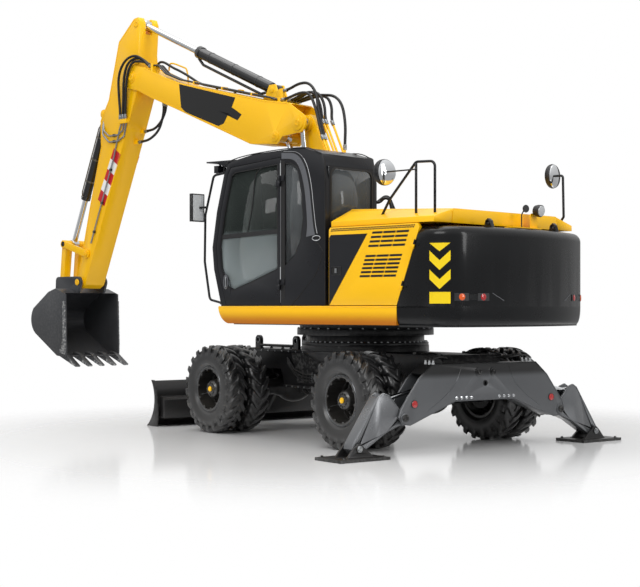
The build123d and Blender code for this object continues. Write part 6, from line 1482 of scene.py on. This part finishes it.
upper_pair("bucket_side_cutter", wall_sheet(cutter, 0.4702, 0.010), TOOTH_STEEL, ("bucket", "bucket"),
           split=30)
straps = []
for y in (-0.36, -0.12, 0.12, 0.36):
    a, b = np.array((6.028, 1.128)), np.array((5.510, 0.822))
    d = (b - a) / np.linalg.norm(b - a)
    out = np.array((0.508, -0.861))
    line = [a + out * 0.0005, a + d * 0.02 + out * 0.008, b - d * 0.02 + out * 0.008, b + out * 0.0005]
    verts = np.array([(x, y + s, z) for s in (-0.035, 0.035) for x, z in line])
    straps.append((verts, np.array([[0, 1, 5, 4], [1, 2, 6, 5], [2, 3, 7, 6], [0, 3, 2, 1], [4, 5, 6, 7]])))
upper_piece("bucket_heel_straps", join_parts(*straps), BUCKET_STEEL, "bucket", split=20)
upper_piece("bucket_ear_welds",
            join_parts(*[tube([(5.290, y, 1.712), (5.330, y, 1.712), (5.600, y, 1.752), (5.700, y, 1.738),
                               (5.866, y, 1.640)], 0.005, 6)
                                             for y in (0.2345, 0.2035, -0.2035, -0.2345)]), BUCKET_STEEL,
            "bucket")

# ---------------------------------------------------------------- mirrors

for label, place, side in (("rear", (-1.245, 1.080, 2.930), -0.225),
                           ("tail", (-1.850, -1.130, 3.000), 0.225)):
    axis = np.array((0.974, side, 0.0))
    place = np.array(place)
    upper_piece(f"{label}_mirror_dome",
                lathe([(0.1345, 0.0), (0.129, 0.012), (0.105, 0.024), (0.065, 0.034), (0.002, 0.039)],
                                              place - axis * 0.0152, -axis, 48), BRIGHT)
    upper_piece(f"{label}_mirror_glass",
                lathe([(0.126, 0.0), (0.123, 0.003), (0.080, 0.007), (0.002, 0.009)],
                                               place + axis * 0.0152, axis, 48), MIRROR_GLASS)
    upper_piece(f"{label}_mirror_rim",
                lathe([(0.1352, -0.016), (0.139, -0.008), (0.139, 0.010), (0.135, 0.018), (0.127, 0.018),
                       (0.126, 0.014)],
                                             place, axis, 48), PLASTIC)
# front mirror: pale glass with a painted reflection, in a plastic rim
face = slab([(1.158, 2.538), (1.322, 2.538), (1.322, 2.842), (1.158, 2.842)], -0.003, (1.5515, 0, 0),
            (0, 1, 0), (0, 0, 1))
upper_piece("front_mirror_glass", (face[0], face[1][:, ::-1]), FRONT_MIRROR_PAINTED_REFLECTION, split=30)
rim_path = np.array([(1.552, y, z) for y,
                     z in ((1.150, 2.530), (1.330, 2.530), (1.330, 2.850), (1.150, 2.850), (1.150, 2.530))])
upper_piece("front_mirror_rim", tube(rim_path, 0.007, 8), PLASTIC)

# ---------------------------------------------------------------- controls in the cab

for label, y in (("left", 1.095), ("right", 0.505)):
    upper_piece(f"console_{label}", rounded_box((0.46, 0.095, 0.34), (0.175, y, 1.880), 0.030, 10), PLASTIC)
    stick = swept(flowing([(0.355, y, 2.045), (0.362, y, 2.085), (0.372, y, 2.125), (0.375, y, 2.150)]),
                  0.011, 10)
    gaiter = lathe([(0.045, 0.0), (0.030, 0.012), (0.034, 0.020), (0.022, 0.032), (0.025, 0.040),
                    (0.012, 0.050)], (0.355, y, 2.049), (0, 0, 1), 20)
    grip = lathe([(0.002, -0.002), (0.017, 0.0), (0.020, 0.020), (0.017, 0.050), (0.021, 0.085),
                  (0.023, 0.105), (0.016, 0.120), (0.002, 0.123)],
                 (0.374, y, 2.140), (0.12, 0, 1), 20)
    upper_piece(f"control_stick_{label}", join_parts(stick, gaiter, grip), PLASTIC)
column = swept(flowing(on_wall([(0.985, 1.600), (0.955, 1.760), (0.870, 1.950), (0.775, 2.090)], 0.80)),
               0.034, 16)
upper_piece("steering_column", column, PLASTIC)
tilt = np.array((-0.50, 0.0, 0.866))
turn = np.linspace(0, tau, 49)
hoop = np.stack([0.185 * np.cos(turn), 0.185 * np.sin(turn), np.zeros(49)],
                -1) @ basis(tilt) + (0.760, 0.80, 2.115)
spokes = [swept(np.linspace(np.array((0.760, 0.80, 2.105)), hoop[k], 5), 0.010, 8) for k in (4, 20, 36)]
hub = lathe([(0.045, -0.020), (0.050, 0.0), (0.040, 0.014), (0.002, 0.018)], (0.760, 0.80, 2.110), tilt, 24)
upper_piece("steering_wheel", join_parts(tube(hoop, 0.0135, 10, closed_ends=False), hub, *spokes), PLASTIC)
pedal = rounded_box((0.10, 0.055, 0.012), (0, 0, 0), 0.005, 5)
upper_piece("pedals",
            join_parts(*[(pedal[0] @ np.array([[0.82, 0, 0.57], [0, 1, 0], [-0.57, 0, 0.82]])
                          + [1.02, y, 1.680], pedal[1]) for y in (0.60, 0.69, 0.91, 1.00)]),
            ZINC)
upper_piece("cab_screen", rounded_box((0.035, 0.200, 0.140), (1.060, 0.530, 2.230), 0.012, 6), PLASTIC)
upper_piece("cab_screen_glass",
            slab([(0.440, 2.170), (0.620, 2.170), (0.620, 2.290), (0.440, 2.290)], -0.001, (1.0418, 0, 0),
                 (0, 1, 0), (0, 0, 1)), DOOR_GLASS_PAINTED_LIGHT, split=30)
upper_piece("cab_screen_arm",
            swept(flowing(on_wall([(1.085, 1.600), (1.100, 1.800), (1.100, 2.050), (1.078, 2.220)],
                                  0.530)), 0.014, 10), PLASTIC)
floor_mat_ribs = join_parts(rounded_box((0.62, 0.66, 0.010), (0.760, 0.80, 1.5795), 0.003, 5),
                            *[rounded_box((0.60, 0.010, 0.005), (0.760, y, 1.586), 0.0015, 4)
                              for y in np.linspace(0.52, 1.08, 15)])
upper_piece("cab_floor_mat", floor_mat_ribs, SEAL)
belt = swept(flowing([(0.00, 1.055, 1.85), (-0.03, 1.062, 1.93), (-0.10, 1.062, 2.10),
                      (-0.135, 1.060, 2.25)]), 0.010, 8)
upper_piece("seat_belt", belt, SEAL)

# ---------------------------------------------------------------- undercarriage

BASE = "undercarriage"
turn = np.arange(60) * tau / 60
new_piece("slew_ring_lower_bolts",
          *copies(hex_bolt(0.011, 0.014),
                  np.stack([0.716 * np.cos(turn), 0.716 * np.sin(turn), np.full(60, 1.1085)], -1)),
          ZINC, BASE, split=25)
turn = np.arange(36) * tau / 36
upper_piece("slew_ring_upper_bolts",
            copies(hex_bolt(0.011, 0.014),
                   np.stack([0.786 * np.cos(turn), 0.786 * np.sin(turn), np.full(36, 1.2625)], -1)),
            ZINC, split=25)
turn = np.linspace(0, tau, 121)


def level_ring(r, z):
    """Closed circle about the slewing axis, level at height z."""
    return np.stack([r * np.cos(turn), r * np.sin(turn), np.full(121, z)], -1)


new_piece("slew_ring_seal", *tube(level_ring(0.6925, 1.1875), 0.0045, 6, closed_ends=False), SEAL, BASE)
new_piece("slew_ring_weld", *tube(level_ring(0.745, 1.0035), 0.006, 6, closed_ends=False), CHASSIS_BLACK,
          BASE)


def base_pair(name, part, material, body_left=BASE, body_right=BASE, **how):
    """A piece drawn on the left of the undercarriage, and its like on the right."""
    new_piece(name + "_left", *part, material, body_left, **how)
    new_piece(name + "_right", *mirrored(part), material, body_right, **how)


panel = [(0.90, 0.955), (-0.62, 0.955), (-0.52, 0.610), (0.78, 0.610)]
base_pair("chassis_side_plate", wall_sheet(panel, 0.4152, 0.006), CHASSIS_BLACK, split=30)
base_pair("chassis_side_welds",
          join_parts(tube(np.insert(np.array(panel + panel[:1]), 1, 0.4165, axis=1), 0.005, 6),
                                           tube([(2.02, 0.4165, 0.93), (1.86, 0.4165, 0.80),
                                                 (1.80, 0.4165, 0.775)], 0.005, 6)), CHASSIS_BLACK)
flange_bolts = np.array([(x, 0.4392, z) for x, z in [(x, 0.556) for x in np.linspace(-0.70, 0.98, 15)]
                         + [(x, 0.9765) for x in np.linspace(0.50, 1.95, 11)]])
base_pair("chassis_flange_bolts", copies(hex_bolt(0.009, 0.008), flange_bolts, [(0, 1, 0)]), ZINC, split=25)
pipes = [swept(routed([(-0.72, 0.430, 0.60 + k * 0.035), (-0.66, 0.442, 0.64 + k * 0.035),
                       (0.62, 0.442, 0.64 + k * 0.035), (0.80, 0.442, 0.70 + k * 0.03),
                       (0.98, 0.425, 0.84 + k * 0.03)], 0.05), 0.0095, 10) for k in range(3)]
base_pair("chassis_pipes", join_parts(*pipes), CHASSIS_BLACK)
clamp = rounded_box((0.030, 0.030, 0.125), (0, 0, 0), 0.005, 4)
base_pair("chassis_pipe_clamps",
          join_parts(*[(clamp[0] + [x, 0.436, 0.675], clamp[1]) for x in (-0.45, 0.0, 0.45)]), ZINC)
base_pair("lug_bar", tube([(1.63, 0.372, 1.040), (0.93, 0.372, 1.040)], 0.017, 12), CHASSIS_BLACK)
tops = np.array([(2.00, 0.30, 1.0), (2.00, 0.37, 1.0), (1.50, 0.30, 1.0), (1.20, 0.34, 1.0),
                 (1.08, 0.30, 1.0), (-1.30, 0.36, 1.0), (-1.70, 0.36, 1.0)])
base_pair("chassis_top_bolts", copies(hex_bolt(0.017, 0.022), tops), DARK_BOLT, split=25)
base_pair("lug_welds",
          join_parts(*[tube([(x - 0.062, y, 1.003), (x + 0.062, y, 1.003)], 0.006, 6) for x in (1.68, 0.88)
                       for y in (0.337, 0.383)]), CHASSIS_BLACK)
lug_ring = lathe([(0.0302, -0.022), (0.036, -0.0215), (0.036, -0.0198)], steps=24)
base_pair("tie_down_rims", copies(lug_ring, [(x, 0.36, 1.105) for x in (1.68, 0.88)], [(0, -1, 0)]), ZINC)

# stabiliser beam: pins with their keepers, reflectors, lower bolts, weld seams and hose fittings
REAR = -2.030
pin = copies(pin_end(0.030), [(REAR - 0.0262, 1.120, 0.390)], [(-1, 0, 0)])
boss = weld_ring(np.array((REAR - 0.0002, 1.120, 0.390)), 0.054, (-1, 0, 0))
foot = copies(pin_end(0.022), [(REAR - 0.0242, 0.105, 0.830)], [(-1, 0, 0)])
base_pair("beam_pins", join_parts(pin, foot), DARK_BOLT, split=30)
base_pair("beam_boss_welds",
          join_parts(boss, weld_ring(np.array((REAR - 0.0002, 0.105, 0.830)), 0.042, (-1, 0, 0))),
          BEAM_BLACK_PAINTED_REFLECTION)
low = [(0.0, 0.535), (0.425, 0.535), (1.035, 0.317), (1.145, 0.332), (1.183, 0.400), (1.158, 0.476),
       (0.920, 0.773), (0.747, 0.913), (0.0, 0.913)]
base_pair("beam_seams", tube([(REAR - 0.0005, y, z) for y, z in low], 0.0035, 6), BEAM_BLACK_PAINTED_REFLECTION)
fold = [(0.330, 0.912), (0.420, 0.730), (0.560, 0.600), (0.800, 0.450)]
base_pair("beam_fold_line", tube(smooth_path([(REAR - 0.0003, y, z) for y, z in fold], 6), 0.003, 6),
          BEAM_BLACK_PAINTED_REFLECTION)
hole = [(0.026 * cos(a), 0.710 + 0.026 * sin(a)) for a in np.linspace(0, tau, 29)]
new_piece("beam_hole_rim", *tube([(REAR - 0.001, y, z) for y, z in hole], 0.005, 6, closed_ends=False),
          DARK_BOLT, BASE)
base_pair("beam_bright_bolts",
          copies(hex_bolt(0.013, 0.014), [(REAR, y, 0.565) for y in (0.20, 0.27, 0.34, 0.41)],
                 [(-1, 0, 0)]), BRIGHT, split=25)
reflector = lathe([(0.037, 0.0), (0.036, 0.006), (0.020, 0.009), (0.001, 0.010)],
                  (REAR - 0.0002, 0.985, 0.525), (-1, 0, 0), 32)
cup = lathe([(0.042, 0.0), (0.042, 0.005), (0.037, 0.006)], (REAR - 0.0002, 0.985, 0.525), (-1, 0, 0), 32)
base_pair("beam_reflectors", reflector, RED_LENS)
base_pair("beam_reflector_cups", cup, PLASTIC)
fit = []
for x in (-1.99, -1.93, -1.87):
    fit.append(lathe([(0.015, 0.0), (0.015, 0.020), (0.011, 0.022), (0.011, 0.040), (0.002, 0.042)],
                     (x, 0.700, 0.9195), (0, 0, 1), 6))
base_pair("beam_hose_fittings", join_parts(*fit), BRIGHT, split=25)
runs = [swept(flowing([(x, 0.700, 0.958), (x, 0.700, 0.985), (x + 0.01, 0.560, 1.000),
                       (x + 0.06, 0.440, 0.965), (-1.79, 0.38 - k * 0.03, 0.975),
                      (-1.62, 0.36 - k * 0.03, 1.012), (-1.40, 0.34 - k * 0.03, 1.012)]), 0.010, 10) for k,
        x in enumerate((-1.99, -1.93, -1.87))]
base_pair("beam_hoses", join_parts(*runs), HOSE)

LEGS = ("stabiliser_left", "stabiliser_right")
leg = [(1.060, 0.440), (1.160, 0.490), (1.290, 0.630), (1.370, 0.655), (1.430, 0.620), (1.745, 0.170),
       (1.765, 0.110), (1.725, 0.060), (1.640, 0.070),
       (1.330, 0.250), (1.170, 0.310), (1.075, 0.322), (1.045, 0.350), (1.060, 0.440)]
mid = np.array((1.40, 0.36))
inner = mid + (np.array(leg) - mid) * 0.955
LEG_REAR, LEG_FRONT = -2.000, -1.855
base_pair("leg_seams", join_parts(tube([(LEG_REAR - 0.0003, y, z) for y, z in inner], 0.0032, 6),
                                  tube([(LEG_FRONT + 0.0003, y, z) for y, z in inner], 0.0032, 6)),
          BEAM_BLACK_PAINTED_REFLECTION, *LEGS)
PADS = ("stabiliser_pad_left", "stabiliser_pad_right")
pin_places = [(-2.0442, 1.700, 0.115), (-1.8108, 1.700, 0.115)]
base_pair("pad_pin_ends", copies(pin_end(0.023), pin_places, [(-1, 0, 0), (1, 0, 0)]), ZINC, *PADS,
          split=30)
pad_bolts = [(x, y, 0.030) for x in (-2.10, -1.755) for y in (1.45, 1.95)]
base_pair("pad_bolts", copies(hex_bolt(0.014, 0.016), pad_bolts), DARK_BOLT, *PADS, split=25)
base_pair("pad_rib_welds",
          join_parts(*[tube([(x, 1.515, 0.0325), (x, 1.845, 0.0325)], 0.005, 6)
                       for x in (-2.0325, -2.0065, -1.8495, -1.8235)]),
          CHASSIS_BLACK, *PADS)

# blade: bolts of its edge, seams on its back, and the ends of its pins
new_piece("blade_edge_bolts",
          *copies(hex_bolt(0.014, 0.010), [(2.7620, y, 0.060) for y in np.linspace(-1.24, 1.24, 13)],
                  [(1, 0, 0.45)]), DARK_BOLT, "blade", split=25)
new_piece("blade_back_seams", *join_parts(*[tube([(x, -1.268, z), (x, 1.268, z)], 0.004, 6) for x, z in
                                            ((2.4690, 0.110), (2.4690, 0.340), (2.4990, 0.381))]),
          CHASSIS_BLACK, "blade")
pins = [(x, hand * y, z) for x, y, z in ((2.190, 0.3752, 0.520), (2.185, 0.2042, 0.850))
        for hand in (1, -1)]
new_piece("blade_pin_ends", *copies(pin_end(0.023), pins, [(0, 1, 0), (0, -1, 0)] * 2), ZINC, BASE,
          split=30)

# hexagon plugs on the axles' housings
plug = lathe([(0.024, -0.004), (0.024, 0.010), (0.018, 0.016), (0.002, 0.016)], steps=6)
for end, x in AXLES.items():
    new_piece(f"{end}_axle_plugs", *copies(plug, [(x - 0.199, 0.0, TYRE_R)], [(-1, 0, 0)]), ZINC, BASE,
              split=25)
